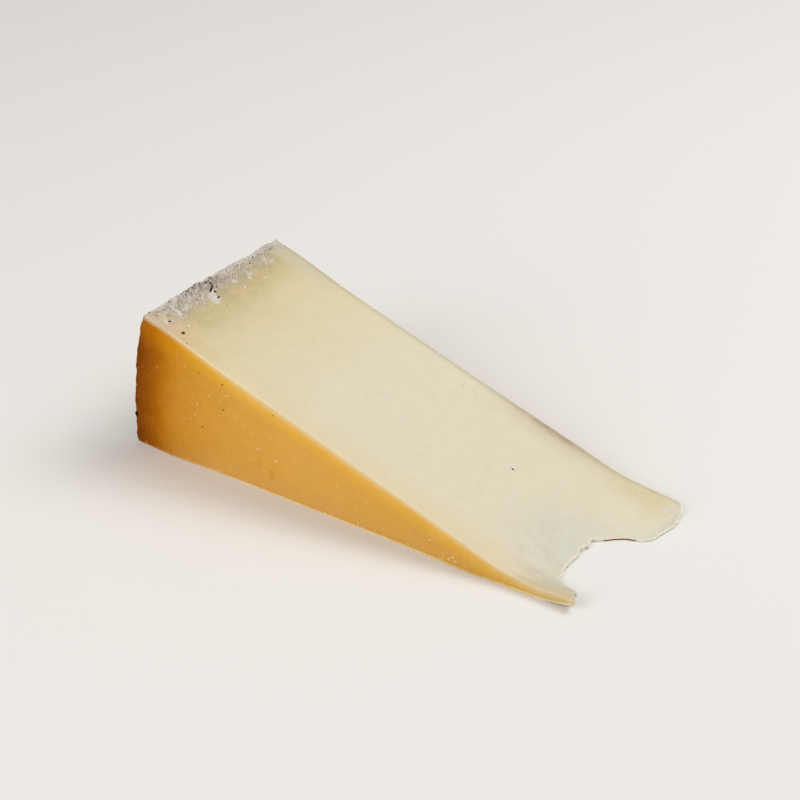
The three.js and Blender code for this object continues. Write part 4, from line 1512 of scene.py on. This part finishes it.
class CHEESE_OT_stage(bpy.types.Operator):
    """Set up the pale floor, the soft lamps and the camera"""

    bl_idname = "cheese.stage"
    bl_label = "Stage"

    def execute(self, context):
        scene = context.scene
        stage = scene.cheese_stage
        target = (stage.target_x, stage.target_y, stage.target_z)
        self.floor(stage)
        soft_lamp("key lamp", stage.key_power, KEY_SIZE, KEY_PLACE, target)
        soft_lamp("fill lamp", stage.fill_power, FILL_SIZE, FILL_PLACE, target)
        world = bpy.data.worlds.new("pale room")
        world.use_nodes = True
        sky = world.node_tree.nodes["Background"]
        sky.inputs["Color"].default_value = (1, 1, 1, 1)
        sky.inputs["Strength"].default_value = stage.world_light
        scene.world = world
        scene.view_settings.view_transform = "Standard"

        data = bpy.data.cameras.new("camera")
        data.lens = stage.lens
        data.sensor_width = SENSOR_WIDTH
        camera = bpy.data.objects.new("camera", data)
        scene.collection.objects.link(camera)
        away = Vector((sin(stage.azimuth), -cos(stage.azimuth), tan(stage.elevation))).normalized()
        aim(camera, Vector(target) + away * stage.distance, target)
        scene.camera = camera
        return {"FINISHED"}

    def floor(self, stage):
        """A large flat sheet on the ground."""
        corners = [(x * FLOOR_HALF, y * FLOOR_HALF, 0) for x, y in ((-1, -1), (1, -1), (1, 1), (-1, 1))]
        mesh = bpy.data.meshes.new("floor")
        mesh.from_pydata(corners, [], [(0, 1, 2, 3)])
        paint = Paint("pale floor", 0.9)
        mesh.materials.append(paint.finish({"Base Color": stage.floor_colour}))
        floor = bpy.data.objects.new("floor", mesh)
        bpy.context.scene.collection.objects.link(floor)


# --- The add-on -----------------------------------------------------------------------------------

GROUPS = {
    "cheese_sizes": WedgeSizes,
    "cheese_counts": SpeckCounts,
    "cheese_colours": CheeseColours,
    "cheese_stage": StageSettings,
}
OPERATORS = (
    CHEESE_OT_wedge,
    CHEESE_OT_crust_fibres,
    CHEESE_OT_dark_marks,
    CHEESE_OT_rusty_marks,
    CHEESE_OT_crystals,
    CHEESE_OT_crumbs,
    CHEESE_OT_stage,
)


class CHEESE_PT_panel(bpy.types.Panel):
    """Lists the steps and what they read"""

    bl_idname = "CHEESE_PT_panel"
    bl_label = "Cheese Wedge"
    bl_space_type = "VIEW_3D"
    bl_region_type = "UI"
    bl_category = "Cheese"

    def draw(self, context):
        layout = self.layout
        for operator in OPERATORS:
            layout.operator(operator.bl_idname)
        for group in (getattr(context.scene, name) for name in GROUPS):
            box = layout.box()
            for name in group.bl_rna.properties.keys():
                if name not in ("rna_type", "name"):
                    box.prop(group, name)


CLASSES = (*GROUPS.values(), *OPERATORS, CHEESE_PT_panel)


def register():
    """Adds the classes, and the groups of properties to the scene."""
    for item in CLASSES:
        bpy.utils.register_class(item)
    for name, group in GROUPS.items():
        setattr(bpy.types.Scene, name, bpy.props.PointerProperty(type=group))


def unregister():
    """Takes them away again."""
    for name in GROUPS:
        delattr(bpy.types.Scene, name)
    for item in reversed(CLASSES):
        bpy.utils.unregister_class(item)


def main():
    """Builds every piece and the stage."""
    register()
    for operator in OPERATORS:
        group, step = operator.bl_idname.split(".")
        getattr(getattr(bpy.ops, group), step)()


if __name__ == "__main__":
    main()
